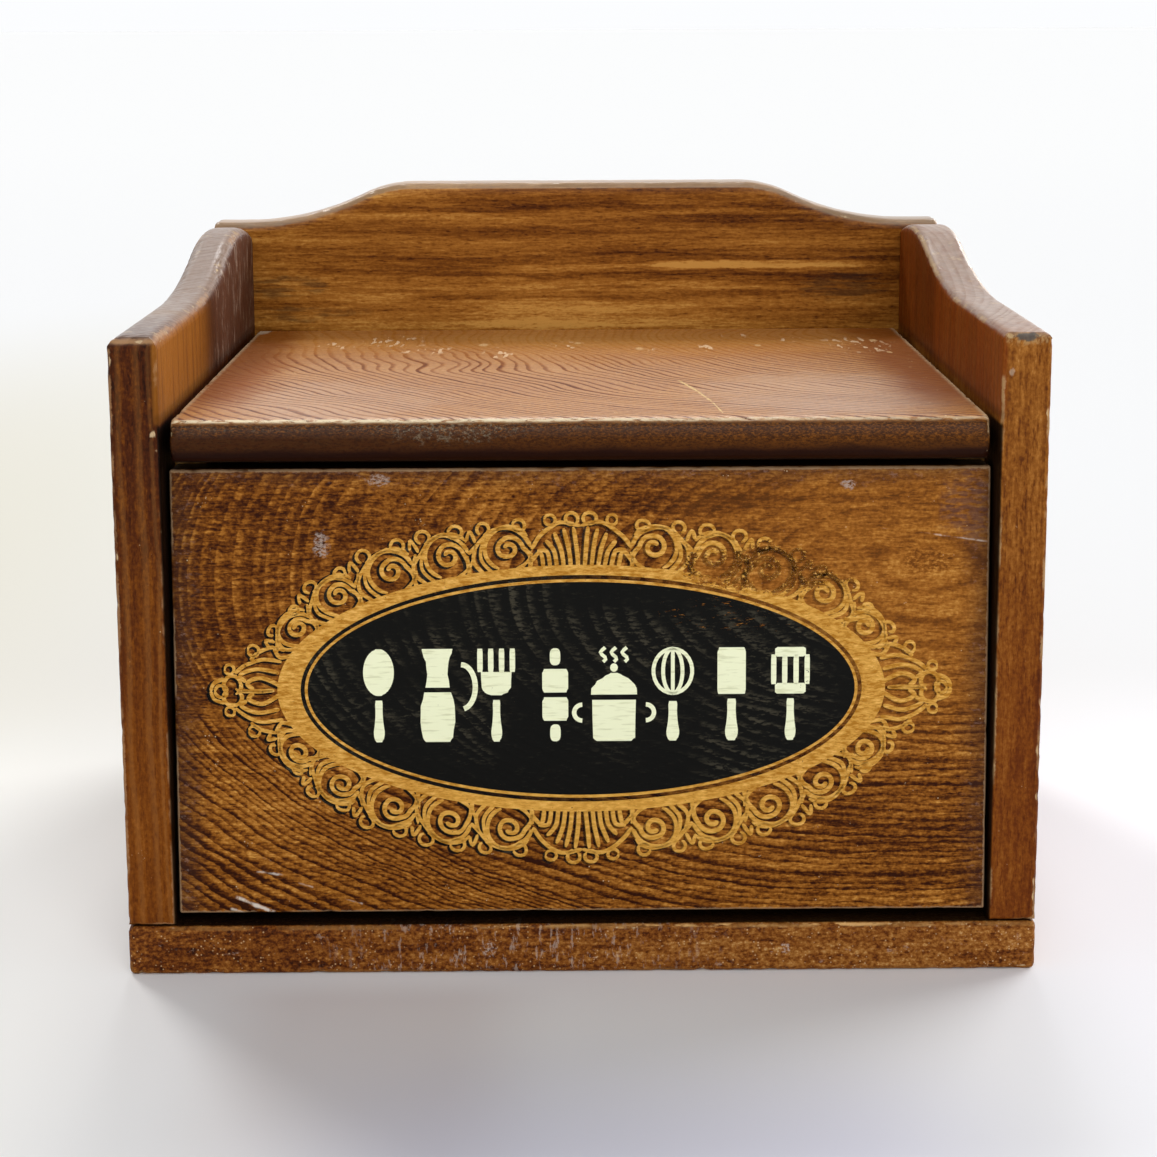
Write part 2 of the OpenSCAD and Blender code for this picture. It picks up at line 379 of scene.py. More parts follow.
    def mark(self, share, shade, lift=0.0, rough=0.0):
        """Lays a colour over the stain where share is 1, and raises the surface by lift."""
        self.marks.append((share, shade))
        if lift:
            self.height = self.height + share * lift
        if rough:
            self.rough = self.rough + share * rough
        return self

    def edge_wear(self, shade, reach=0.45, often=0.4, shift=101.0, most=0.8, raw=None):
        """Rubs the finish off some stretches of the sharp edges, and bares the wood where it is chipped."""
        colours = bpy.context.scene.card_box_colours
        edge, worn = self.layer("edge"), self.layer("worn")
        ragged = edge + self.swing(reach * 0.9, (1.1, 1.1, 1.1), shift, detail=5.0, rough=0.7)
        patchy = self.grain((0.06, 0.06, 0.06), shift + 5, detail=4.0, rough=0.65)
        stretch = self.ease(patchy, 0.6 - often * 0.4, 0.66 - often * 0.3)
        rubbed = self.ease(ragged, reach * 0.3, reach, most, 0) * stretch
        self.mark(rubbed, shade, rough=0.1)
        bare = self.ease(worn + self.swing(0.06, (1.5, 1.5, 1.5), shift + 9), 0.2, 0.32)
        fibre = self.grain((0.4, 2.4, 2.4), shift + 11, detail=3.0)
        self.mark(bare * (fibre * 0.9 + 0.25), raw or tuple(colours.bare), rough=0.2)
        return self

    def specks(self, amount, shade, size=1.6, shift=111.0, where=1.0):
        """Tiny pale spots; a larger amount gives more of them."""
        dots = self.node("TexVoronoi", out="Distance", Vector=self.stretch(self.at, (size,) * 3, shift), Scale=1.0)
        few = self.grain((0.35, 0.35, 0.35), shift + 3, detail=4.0)
        share = self.ease(dots, 0.1, 0.26, 1, 0) * self.ease(few, 1 - amount, 1.08 - amount)
        return self.mark(share * where, shade)

    def finish(self, roughness=0.44, relief=0.35, coat=0.0, lacquer=0.16, gloss=0.05):
        """Turns the tone into stain, lays the marks over it and joins the surface."""
        shade = self.node("ValToRGB", {"stops": self.stain}, Fac=self.tone)
        for share, colour in self.marks:
            shade = self.mix(share, shade, colour)
        rough = self.rough + (roughness - 0.44) + self.swing(lacquer, (0.3, 0.9, 0.9), 121, detail=4.0)
        return self.surface(shade, rough, self.height, relief, coat=coat, gloss=gloss)


# Meshes


class Outline:
    """An outline drawn on the ground with a moving tip: straight runs, and arcs spun about a centre."""

    def __init__(self, bm, start):
        self.bm = bm
        self.first = self.tip = bm.verts.new((*start, 0))

    def line(self, x, y):
        new = self.bm.verts.new((x, y, 0))
        self.bm.edges.new((self.tip, new))
        self.tip = new
        return self

    def turn(self, x, y, degrees, steps):
        spun = bmesh.ops.spin(
            self.bm,
            geom=[self.tip],
            cent=(x, y, 0),
            axis=(0, 0, 1),
            angle=math.radians(degrees),
            steps=steps,
            use_duplicate=False,
        )
        self.tip = spun["geom_last"][0]
        return self

    def thicken(self, depth):
        """Closes the outline and gives it a thickness along +Z."""
        self.bm.edges.new((self.tip, self.first))
        bmesh.ops.remove_doubles(self.bm, verts=self.bm.verts, dist=1e-6)
        bmesh.ops.contextual_create(self.bm, geom=self.bm.edges[:])
        grown = bmesh.ops.extrude_face_region(self.bm, geom=self.bm.faces[:])
        top = [v for v in grown["geom"] if isinstance(v, bmesh.types.BMVert)]
        bmesh.ops.translate(self.bm, vec=(0, 0, depth), verts=top)
        bmesh.ops.recalc_face_normals(self.bm, faces=self.bm.faces)


def turn_outwards(bm):
    """Points the faces of a closed mesh outwards."""
    bmesh.ops.recalc_face_normals(bm, faces=bm.faces)
    if bm.calc_volume(signed=True) < 0:
        bmesh.ops.reverse_faces(bm, faces=bm.faces)
    bm.normal_update()


class Board:
    """One board on the bench: it is shaped, eased, drilled, ruled into small faces and worn."""

    def __init__(self, node):
        self.node = node
        self.low, self.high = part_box(node)
        self.size = self.high - self.low
        self.bm = bmesh.new()
        self.edges = []

    def block(self):
        """A plain rectangular board, as large as the CAD node."""
        bmesh.ops.create_cube(self.bm, size=1)
        bmesh.ops.scale(self.bm, vec=self.size, verts=self.bm.verts)
        bmesh.ops.translate(self.bm, vec=(self.low + self.high) / 2, verts=self.bm.verts)
        return self

    def stand(self, columns, origin):
        """Turns the ground's X, Y and Z to the given directions, and moves the board's start to origin."""
        turn = Matrix(columns).transposed().to_4x4()
        self.bm.transform(Matrix.Translation(origin) @ turn)
        bmesh.ops.recalc_face_normals(self.bm, faces=self.bm.faces)
        return self

    def ease_edges(self, radius, picked=lambda a, b: True, steps=3):
        """Rounds the sharp edges for which picked, given both ends, is true."""
        sharp = [
            e
            for e in self.bm.edges
            if e.is_manifold and e.calc_face_angle() > math.radians(40) and picked(e.verts[0].co, e.verts[1].co)
        ]
        self.edges += [(e.verts[0].co.copy(), e.verts[1].co.copy(), radius) for e in sharp]
        bmesh.ops.bevel(
            self.bm, geom=sharp, offset=radius, segments=steps, profile=0.5, affect="EDGES", material=-1
        )
        return self

    def drill(self, holes):
        """Cuts a round hole for each start, end and radius."""
        cutter = bmesh.new()
        for start, end, radius in holes:
            reach = end - start
            turn = reach.to_track_quat("Z", "Y").to_matrix().to_4x4()
            spot = Matrix.Translation((start + end) / 2) @ turn
            bmesh.ops.create_cone(
                cutter, cap_ends=True, segments=24, radius1=radius, radius2=radius, depth=reach.length, matrix=spot
            )
        body, tool = (mesh_object(f"{self.node}_{n}", b) for n, b in (("blank", self.bm), ("drill", cutter)))
        cut = body.modifiers.new("drill", "BOOLEAN")
        cut.operation = "DIFFERENCE"
        cut.solver = "EXACT"
        cut.object = tool
        shaped = bpy.data.meshes.new_from_object(body.evaluated_get(bpy.context.evaluated_depsgraph_get()))
        self.bm = bmesh.new()
        self.bm.from_mesh(shaped)
        for thing in (body, tool):
            bpy.data.objects.remove(thing)
        return self

    def rule(self, step, margins=(0.5, 1.2, 2.2)):
        """Cuts the board across at equal steps, and again close to its outer faces."""
        for axis in range(3):
            low, high = self.low[axis], self.high[axis]
            count = max(1, round((high - low) / (step * MM)))
            places = [low + (high - low) * i / count for i in range(1, count)]
            places += [p for m in margins for p in (low + m * MM, high - m * MM)]
            normal = Vector((axis == 0, axis == 1, axis == 2))
            for place in places:
                bmesh.ops.bisect_plane(
                    self.bm,
                    geom=self.bm.verts[:] + self.bm.edges[:] + self.bm.faces[:],
                    plane_co=normal * place,
                    plane_no=normal,
                    dist=1e-6,
                )
        return self

    def edge_reach(self):
        """How far each vertex is from the nearest sharp edge, in millimetres."""
        points = np.array([v.co for v in self.bm.verts])
        nearest = np.full(len(points), 1.0)
        for start, end, radius in self.edges:
            a, run = np.array(start), np.array(end - start)
            share = np.clip((points - a) @ run / max(run @ run, 1e-12), 0, 1)
            away = np.linalg.norm(points - a - share[:, None] * run, axis=1) - radius * (math.sqrt(2) - 1)
            nearest = np.minimum(nearest, np.maximum(away, 0))
        return nearest / MM

    def wear(self, depth=0.35, reach=1.3, rough=0.55, seed=0.0, chips=()):
        """Wears the edges down unevenly, and breaks a chip out at each of the given places.

        A chip is a point, a radius and a depth, all in millimetres. Nothing moves outwards.
        """
        turn_outwards(self.bm)
        edge = self.edge_reach()
        worn = np.zeros(len(edge))
        moved = []
        for i, v in enumerate(self.bm.verts):
            point = v.co / MM
            loss = 0.0
            if edge[i] < reach:
                rubbed = noise.fractal(point * rough + Vector((seed, 0, 0)), 0.8, 2.0, 4)
                loss = depth * max(0.0, rubbed - 0.12) * (1 - edge[i] / reach)
            for middle, radius, deep in chips:
                away = (point - Vector(middle)).length / radius
                if away < 1.6:
                    away += 0.35 * noise.noise(point * 1.3 + Vector((0, seed, 0)))
                    loss = max(loss, deep * min(1.0, max(0.0, 1.25 - away) * 2.0))
            worn[i] = loss
            moved.append(v.co - v.normal * (loss * MM))
        for v, place in zip(self.bm.verts, moved):
            v.co = place
        up = np.array([max(0.0, v.normal.z) for v in self.bm.verts])
        self.layers = {"edge": edge, "worn": worn, "up": up}
        return self

    def place(self, name, body, slot, material):
        """Makes the object, and lets it stand for the CAD node."""
        thing = mesh_object(name, self.bm)
        for key, values in self.layers.items():
            layer = thing.data.attributes.new(key, "FLOAT", "POINT")
            layer.data.foreach_set("value", values.astype(np.float32))
        finish_piece(thing, body, slot, material, self.node)
        return thing


def mesh_object(name, bm):
    """An object at the origin with the mesh's own places."""
    mesh = bpy.data.meshes.new(name)
    bm.to_mesh(mesh)
    bm.free()
    thing = bpy.data.objects.new(name, mesh)
    bpy.context.scene.collection.objects.link(thing)
    return thing


def finish_piece(thing, body, slot, material, *nodes, angle=50):
    """Smooths the piece, gives it its finish, and says what it rides on and stands for."""
    mesh = thing.data
    mesh.materials.clear()
    mesh.materials.append(material)
    mesh.shade_smooth()
    mesh.set_sharp_from_angle(angle=math.radians(angle))
    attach(thing, body)
    if nodes:
        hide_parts(*nodes)


def nail_heads(node, axis, side):
    """Middle, radius and outer level of each nail head of a node, seen along an axis from one side."""
    points = np.array([v.co for v in frame["nodes"][node].data.vertices])
    level = points[:, axis].max() if side > 0 else points[:, axis].min()
    rim = points[abs(points[:, axis] - level) < 0.05 * MM]
    heads = []
    for p in rim:
        near = [h for h in heads if np.linalg.norm(h[0] - p) < 5 * MM]
        if near:
            near[0].append(p)
        else:
            heads.append([p])
    found = []
    for h in heads:
        h = np.array(h)
        middle = (h.min(0) + h.max(0)) / 2
        across = np.delete(h.max(0) - h.min(0), axis).max() / 2
        found.append((Vector(middle), across))
    return found


def nail_holes(node, axis, side, deep):
    """Holes for the heads of a node's nails, from outside the board to the given depth under each head's top."""
    out = Vector((axis == 0, axis == 1, axis == 2)) * side
    return [(m + out * 2 * MM, m - out * deep, r + 0.03 * MM) for m, r in nail_heads(node, axis, side)]


# Stains: dark to light, with the tone at which each stands


def stain(*codes):
    """Evenly spaced stops of a stain from its darkest lines to its palest streaks."""
    return [(i / (len(codes) - 1), tint(c) if isinstance(c, str) else tuple(c)) for i, c in enumerate(codes)]


# Near-black painted shade for gaps, joints and faces that lie in shadow.
GAP_SHADE = tint("#0b0603")
FRONT_RINGS = {"pith": (64, 72, -34), "spacing": 1.3, "taper": 0.5, "wander": 3.0, "ripple": 0.9, "jag": 0.3}
FRONT_CROWD = (72, 84, 6)


def front_wood():
    """Flat-sawn front board: rings that sweep round a point at the upper right."""
    c = bpy.context.scene.card_box_colours
    shades = stain(c.stain_dark, c.stain_deep, c.stain_brown, c.stain_gold, c.stain_pale)
    wood = Timber("front_board_stain", "XZY", shades, 0.58)
    wood.rings(**FRONT_RINGS, crowd=FRONT_CROWD)
    left = wood.ease(wood.x + wood.swing(8, (0.05, 0.05, 0.05), 5), -44, -18, 1, 0)
    high = wood.ease(wood.z + wood.swing(6, (0.06, 0.06, 0.06), 6), 40, 60)
    golden = left * high
    right = wood.ease(wood.x + wood.swing(14, (0.04, 0.06, 0.06), 8), 0, 50)
    broken = wood.ease(wood.grain((0.3, 1.1, 1.1), 17, detail=3.0), 0.38, 0.54)
    calm = wood.most(right * high * 0.66, wood.spot((8, -62, 90), (36, 40, 9), 0.3, 81) * 0.6)
    calm = wood.most(calm, wood.ease(wood.x - wood.z * 0.5, 5, 40) * 0.25)
    wood.draw_rings(0.62, (1 - golden) * (1 - calm))
    wood.tone = wood.tone + wood.late * golden * broken * 0.42 - golden * 0.3
    wood.tone = wood.tone - wood.ease(wood.x - wood.z * 0.5, 5, 40) * wood.ease(wood.z, 52, 34) * 0.06
    wood.fibres(coarse=0.26, fine=0.36, streak=0.2, grit=0.36)
    wood.blotches(0.26, (0.02, 0.06, 0.06))
    wood.blotches(0.12, (0.16, 0.3, 0.3), 55)
    wood.pores(0.22)
    knot = wood.spot((62.5, -62, 78.5), (9, 40, 4.6), 0.25)
    ring = wood.ball((64, -62, 77.3), (9.6, 40, 5.2), 0.09, 72)
    halo = wood.ease(abs(ring - 1.0), 0.03, 0.2, 1, 0) * wood.ease(wood.x, 56, 68, 0.5, 1.0)
    heart = wood.spot((64, -62, 77.6), (4.8, 40, 2.6), 0.6, 77, 0.5)
    heart = heart * wood.ease(wood.grain((1.4, 2.2, 2.2), 89, detail=3.0), 0.4, 0.55)
    curl = wood.ball((69, -62, 84), (26, 40, 18.5), 0.1, 78)
    curl = wood.ease(abs(curl - 1.0), 0.02, 0.09, 1, 0) * wood.ease(wood.z, 74, 66) * wood.ease(wood.x, 44, 54)
    dim = wood.spot((15, -62, 90), (34, 40, 3.4), 0.5, 73)
    wood.tone = wood.tone + right * high * 0.06 + knot * 0.12 - halo * 0.28 - heart * 0.36 - curl * 0.26 - dim * 0.17
    side = wood.swing(2.6, (0.12, 0.12, 0.12), 74, detail=4.0)
    wood.mark(right * high * 0.26, tint("#965c20"))
    rim_x = wood.ease(abs(wood.x) + side, 69.0, 75.5)
    rim_z = wood.ease(wood.z + side * 0.7, 90.5, 95.5)
    wood.mark(wood.most(rim_x * 0.6, rim_z * 0.5), tint("#3a2116"))
    scuffs = wood.ease(wood.grain((0.6, 1.0, 1.0), 75, detail=5.0, rough=0.75), 0.55, 0.68)
    wood.mark(scuffs * wood.most(rim_x, rim_z) * 0.42, tint("#93766a"))
    grey = wood.spot((72, -62, 88), (6, 40, 8), 0.5, 79, 0.3)
    wood.mark(grey * wood.ease(wood.grain((0.5, 1.4, 1.4), 80, detail=4.0), 0.36, 0.56) * 0.5, tint("#523a38"))
    scratches = (
        ((55, 84.0), (67, 82.6), 0.22),
        ((64, 82.9), (75.2, 81.3), 0.34),
        ((67, 91.3), (75, 90.8), 0.26),
        ((-65, 14.8), (-57.4, 11.6), 0.55),
        ((-66.0, 12.6), (-61.5, 11.0), 0.4),
        ((-61.0, 19.6), (-55.6, 18.9), 0.4),
        ((-53.2, 17.4), (-50.2, 16.5), 0.4),
        ((-59.8, 22.4), (-57.6, 21.4), 0.35),
        ((-45.0, 14.4), (-41.0, 13.2), 0.3),
    )
    for i, ((x0, z0), (x1, z1), width) in enumerate(scratches):
        y0, y1 = (0.0524 * (z - 11.9) - 65.8 for z in (z0, z1))
        line = wood.scratch((x0, y0, z0), (x1, y1, z1), width, i, 0.4)
        wood.mark(line * 0.85, tint("#ddd3c6"), -0.05)
    for (x, z), (wide, high) in (((-47.9, 81.3), (1.6, 2.6)), ((-37.1, 93.3), (2.0, 1.3)), ((49.2, 92.1), (1.6, 0.9))):
        dusty = wood.spot((x, -62, z), (wide, 40, high), 0.8, 76, 0.9)
        dusty = dusty * wood.ease(wood.grain((1.6, 2.6, 2.6), 88, detail=4.0, rough=0.7), 0.42, 0.56)
        wood.mark(dusty * 0.75, tint("#a8968a"))
    wood.specks(0.36, tint("#cdb691"))
    wood.edge_wear(tint("#a08262"), reach=0.4, often=0.6, most=0.75)
    # Painted shade: near-black on the board's ends, foot and top edge, which lie in the shaded gaps.
    out = wood.ease(abs(wood.x), 75.1, 75.4)
    foot = wood.ease(wood.z, 11.9, 11.6)
    head = wood.ease(wood.z + wood.y * 0.052, 91.9, 92.1) * wood.ease(wood.y, -61.0, -60.2)
    wood.mark(wood.most(out, wood.most(foot, head)) * 0.9, GAP_SHADE)
    return wood.finish(0.42, relief=0.4)


LID_DENTS = (
    (-41, 36, 7, 10),
    (-33, 22, 6, 8),
    (-17, 17, 4, 9),
    (-2, 28, 4, 6),
    (14, 21, 3, 4),
    (30, 23, 4, 8),
    (36, 42, 4, 6),
    (47, 36, 4, 6),
    (62, 26, 8, 13),
    (-54, 28, 5, 6),
)


def lid_wood():
    """Redder lid: thin dark rings towards the front, under a satin lacquer, with a pale pinkish painted sheen over its
    top and painted shade on the round nose.
    """
    shades = stain("#3a1408", "#6d340f", "#a0601f", "#bb7f38", "#cf9d5c")
    wood = Timber("lid_stain", "XYZ", shades, 0.66, seed=200.0)
    wood.along = wood.x * 0.5 + wood.swing(7, (0.012, 0.02, 0.02), 139)
    wood.rings((72, 38, 125), 1.6, taper=1.3, wander=3.0, ripple=0.28, jag=0.12, drift=0.8)
    nose = wood.ease(wood.z, 104.9, 103.9) * wood.ease(wood.y, -60.0, -62.5)
    line = wood.ease(wood.phase, 0.5, 0.8) * wood.ease(wood.phase, 0.9, 0.99, 1, 0)
    wood.late = line * (wood.luck * 0.4 + 0.6) * (1 - nose)
    front = wood.ease(wood.y + wood.swing(8, (0.05, 0.05, 0.05), 140), 34, -16)
    wood.draw_rings(0.5, front * 0.95 + 0.05)
    wood.fibres(coarse=0.12, fine=0.2, streak=0.06, grit=0.3)
    wood.blotches(0.16, (0.02, 0.05, 0.05))
    top = wood.layer("up")
    # Painted reflection: a pale pinkish sheen over the top, strongest towards the front, with two painted highlights
    # near the front corners; sheen also raises the coat.
    sheen = wood.most(wood.spot((48, -38, 105), (28, 28, 6), 0.3, 155), wood.spot((-46, -42, 105), (24, 24, 6), 0.3, 156) * 0.7)
    painted_sheen = front * 0.2 * wood.ease(abs(wood.x + 4), 74, 48) + 0.04 + sheen * 0.16
    painted_sheen = painted_sheen * (1 - wood.late * 0.8) * (1 + wood.swing(0.5, (1.2, 1.8, 1.8), 142, detail=3.0))
    wood.mark(painted_sheen * wood.ease(top, 0.6, 0.95), tint("#dcc8b8"))
    ends = wood.ease(abs(wood.x) + wood.swing(5, (0.05, 0.08, 0.08), 151), 57, 68) * wood.ease(wood.y, -60, -36)
    wood.mark(ends * 0.82, tint("#824311"))
    coat = top * (0.3 - wood.late * 0.24 + wood.swing(0.12, (0.4, 0.9, 0.9), 150, detail=4.0))
    coat = coat * (1 - ends * 0.85) + top * sheen * 0.2
    east = wood.ease(wood.x + wood.swing(20, (0.05, 0.3, 0.3), 143), -60, 50)
    low = wood.ease(wood.z + wood.swing(0.8, (0.08, 0.3, 0.3), 149), 100.4, 98.8)
    # Painted shade: the round nose darkened as if turned from the light, a little less towards the right.
    wood.mark(nose * 0.96, tint("#2e1204"))
    wood.mark(nose * east * 0.6, tint("#502b09"))
    wood.specks(0.42, tint("#dcb887"), size=0.9, where=1 - nose)
    dented = 0.0
    for x, y, wide, deep in LID_DENTS:
        dented = wood.most(dented, wood.spot((x, y, 105), (wide, deep, 3), 0.3, 131 + x))
    dent = wood.ease(wood.grain((0.9, 0.24, 0.24), 131, detail=0.7), 0.61, 0.65)
    wood.mark(dented * dent * 0.85, tint("#ebc8a0"), -0.1)
    for i, (x, y, wide) in enumerate(((66.6, 33, 1.0), (0.2, 31, 0.8), (13.6, 22, 1.1), (67.6, 15, 0.7), (-21, 29, 1.2), (40, 26, 0.8))):
        wood.mark(wood.spot((x, y, 105), (wide, wide * 2, 3), 0.6, 131 + i, 0.9) * 0.7, tint("#e2bb86"), -0.1)
    for x0, y0, x1, y1, wide in ((19.9, -21.5, 23.2, -36, 0.42), (23.0, -35, 25.2, -49, 0.34), (25.1, -48, 26.3, -60, 0.24)):
        line = wood.scratch((x0, y0, 105.1), (x1, y1, 105.1), wide, x0, 0.44)
        wood.mark(line * 0.9, tint("#e6c88c"), -0.05)
    level = wood.z + wood.swing(1.0, (0.4, 1, 1), 152)
    gold = wood.most(wood.ease(level, 101.6, 104.0), east * wood.ease(level, 99.6, 102.4) * 0.8)
    fine = wood.grain((1.6, 3.4, 3.4), 144, detail=3.0, rough=0.7)
    wood.mark(nose * gold * wood.ease(fine, 0.46, 0.68) * 0.64, tint("#8f5516"))
    wood.mark(nose * wood.ease(fine, 0.52, 0.36) * 0.5, tint("#190a03"))
    # Painted shade: the lower half of the nose darker still, where it faces down.
    wood.mark(nose * low * 0.9, tint("#1c0905"))
    lint = wood.ease(wood.grain((1.4, 1.8, 1.8), 146, detail=5.0, rough=0.8), 0.5, 0.62)
    dusty = wood.ease(wood.z + wood.swing(0.9, (0.3, 1, 1), 153), 102.4, 104.2)
    dust = wood.spot((-23, -64, 103.1), (14, 6, 2.4), 0.6, 145, 0.5) * 0.5 + dusty * wood.ease(wood.x, 60, -40, 0.0, 0.3)
    wood.mark(nose * dust * lint * 0.9, tint("#8d8068"))
    rim = wood.ease(abs(wood.x), 72.9, 74.0) * wood.ease(wood.z, 104.3, 104.8)
    wood.mark(rim * wood.ease(wood.grain((0.4, 0.9, 0.9), 78, detail=5.0), 0.34, 0.48) * 0.75, tint("#c9b08c"))
    corner = wood.spot((-73.5, 55, 105), (2.4, 9, 3), 0.5, 154)
    wood.mark(corner * 0.7, tint("#c8bca6"))
    # A pale line along the top edge of the nose: rubbed finish, and painted highlight on that edge.
    worn = wood.ease(abs(wood.y + 63.6 + wood.swing(0.35, (0.1, 0.1, 0.1), 147)), 0.15, 0.65, 1, 0)
    fibre = wood.ease(wood.grain((0.35, 1.2, 1.2), 148, detail=5.0, rough=0.75), 0.4, 0.52)
    worn = worn * wood.ease(wood.z, 104.0, 104.8) * fibre
    wood.mark(worn * wood.ease(wood.x, 75, -40, 0.45, 1.0), tint("#ecdcb8"), rough=0.1)
    wood.edge_wear(tint("#c9ad84"), reach=0.4, often=0.4, most=0.6)
    # Painted shade: near-black under the lid and on its ends, in the gaps beside the sides.
    gap = wood.most(wood.ease(wood.z, 97.6, 97.2), wood.ease(abs(wood.x), 74.2, 74.4))
    wood.mark(gap * wood.ease(wood.z, 104.6, 104.0) * wood.ease(wood.y, -40, -52) * 0.85, GAP_SHADE)
    return wood.finish(0.4, relief=0.35, coat=coat, gloss=0.05)


BACK_STREAKS = (
    (44, 119.8, 34, 1.2, 0.42),
    (10, 119.0, 34, 1.0, 0.2),
    (-25, 116.6, 16, 1.0, 0.3),
    (-48, 112.0, 12, 1.4, 0.16),
    (-10, 111.0, 20, 1.2, 0.16),
    (42, 122.6, 40, 1.1, -0.2),
    (44, 116.8, 34, 1.2, -0.16),
)


def back_wood():
    """Golden back panel with long level streaks."""
    c = bpy.context.scene.card_box_colours
    shades = stain(c.stain_dark, c.stain_deep, c.stain_brown, c.stain_gold, c.stain_pale)
    wood = Timber("back_stain", "XZY", shades, 0.6, seed=400.0)
    wood.rings((-10, 60, -46), 2.9, taper=0.06, wander=3.0, ripple=0.9, jag=0.3)
    wood.draw_rings(0.28)
    wood.fibres(coarse=0.24, fine=0.2, streak=0.36, grit=0.12)
    wood.blotches(0.28, (0.014, 0.09, 0.09))
    wood.pores(0.18)
    for x, z, wide, high, lift in BACK_STREAKS:
        wood.tone = wood.tone + wood.spot((x, 58, z), (wide, 8, high), 0.4, 79 + x) * lift
    wood.tone = wood.tone + wood.ease(wood.z, 116, 108) * wood.ease(wood.x, -50, 0) * 0.28
    wood.tone = wood.tone + wood.ease(wood.x, -20, -50) * 0.1 - wood.ease(wood.x, 24, 60) * 0.17
    for x, z, wide, high in ((-70, 115, 12, 2.8), (-66, 108.4, 15, 2.4), (64, 114.5, 12, 4)):
        smudge = wood.spot((x, 58, z), (wide, 8, high), 0.6, 80 + x, 0.2)
        wood.mark(smudge * wood.ease(wood.grain((0.1, 0.9, 0.9), 91, detail=3.0), 0.4, 0.56) * 0.5, tint("#2b2018"))
    top = wood.layer("up")
    # Painted sheen: the up-facing top turned pale, standing in for reflected light, with dust.
    wood.mark(wood.ease(top, 0.25, 0.6) * 0.62, tint("#b09a80"))
    wood.edge_wear(tint("#8f7150"), reach=0.4, often=0.3, most=0.6)
    return wood.finish(0.42, relief=0.35, coat=top * 0.6, gloss=0.05)


def side_wood(name, pith, shades, tone, contrast, rough, seed):
    """A side with upright grain, so that its front edge is striped and its scroll shows end grain."""
    wood = Timber(name, "ZYX", shades, tone, seed)
    wood.rings(pith, 1.9, taper=0.03, wander=2.2, ripple=0.4, jag=0.2)
    wood.draw_rings(contrast)
    wood.fibres(coarse=rough * 0.8, fine=rough * 1.2, streak=rough * 0.7, grit=rough * 1.2)
    wood.blotches(rough, (0.02, 0.07, 0.07))
    wood.pores(rough * 0.8)
    wood.specks(0.34, tint("#cbb288"))
    wood.top = wood.ease(wood.layer("up"), 0.3, 0.8)
    return wood


def finish_side(wood, inner):
    """Dusty sheen on the scroll, and painted shade in the joints beside the front board and the lid."""
    # Painted shade: near-black in the joint beside the front board, and a darker line where the lid meets the inner
    # face.
    low = wood.ease(wood.z, 104.6, 103.6)
    joint = low * wood.ease(wood.y, -50, -58) * wood.ease(abs(wood.x), 76.6, 76.2)
    wood.mark(joint * 0.95, GAP_SHADE)
    contact = inner * wood.ease(abs(wood.z - 105.4), 0.3, 1.6, 1, 0)
    wood.mark(contact * 0.3, GAP_SHADE)
    tan = wood.ease(wood.grain((0.3, 0.3, 0.3), 162, detail=4.0, rough=0.7), 0.6, 0.66)
    wood.mark(wood.top * tan * 0.5, tint("#b59a74"))
    coat = wood.top * (0.66 - wood.late * 0.3 + wood.swing(0.3, (0.4, 0.6, 0.6), 160, detail=4.0))
    coat = coat * wood.ease(abs(wood.x), 76.6, 78.8, 0.3, 1)
    return wood.finish(0.45, relief=0.35, coat=coat, gloss=0.05)


def left_side_wood():
    shades = stain("#260f05", "#482009", "#74400f", "#9c6024", "#c49058")
    wood = side_wood("left_side_stain", (40, -150, 10), shades, 0.3, 0.1, 0.15, 500.0)
    wood.tone = wood.tone + wood.ease(wood.z + wood.swing(14, (0.03, 0.1, 0.1), 159), 104, 36, -0.09, 0.15)
    stripe = wood.ease(wood.phase, 0.1, 0.3) * wood.ease(wood.phase, 0.4, 0.6, 1, 0)
    edge = wood.ease(wood.y, -65.8, -66.4)
    wood.mark(edge * stripe * wood.ease(wood.z, 115, 30, 0.12, 0.24), tint("#a0703c"))
    wood.mark(edge * wood.ease(wood.z, 110, 30, 0.0, 0.3), tint("#7c3e08"))
    inner = wood.ease(wood.x, -77.4, -76.4) * wood.ease(wood.z, 104, 106)
    golden = inner * wood.ease(wood.y, 0, -24)
    wood.mark(golden * 0.66, tint("#aa6a22"))
    wood.mark(golden * wood.ease(wood.grain((0.03, 0.7, 0.7), 163, detail=3.0), 0.46, 0.62) * 0.5, tint("#5a2c0c"))
    dusty = inner * wood.ease(wood.y + wood.swing(10, (0.05, 0.05, 0.05), 151), -12, 10)
    wood.mark(dusty * 0.5, tint("#6c4a3c"))
    scuffs = wood.ease(wood.grain((0.12, 0.5, 0.5), 152, detail=5.0, rough=0.75), 0.54, 0.66)
    wood.mark(dusty * scuffs * 0.65, tint("#b8a492"))
    lines = wood.ease(wood.y, -34, -44) * wood.ease(wood.phase, 0.35, 0.75) * wood.ease(wood.phase, 0.85, 0.97, 1, 0)
    # Painted sheen: the up-facing scroll top turned pale grey-tan, standing in for reflected light, with dust.
    wood.mark(wood.top * wood.ease(wood.y, -60, -34, 0.35, 0.66), tint("#937864"))
    wood.mark(wood.top * lines * 0.6, tint("#50301f"))
    wood.mark(wood.top * wood.spot((-81, -32, 121), (5, 4, 3), 0.4, 157) * 0.6, tint("#7d5a34"))
    rim = wood.ease(abs(wood.y + 66.2), 0.1, 0.9, 1, 0)
    rim = rim * wood.ease(wood.z + wood.swing(0.4, (0.6, 0.6, 0.6), 153), 119.1, 120.0)
    wood.mark(rim * 0.6, tint("#c99a6a"))
    wood.edge_wear(tint("#a98058"), reach=0.42, often=0.25, most=0.6)
    return finish_side(wood, inner)


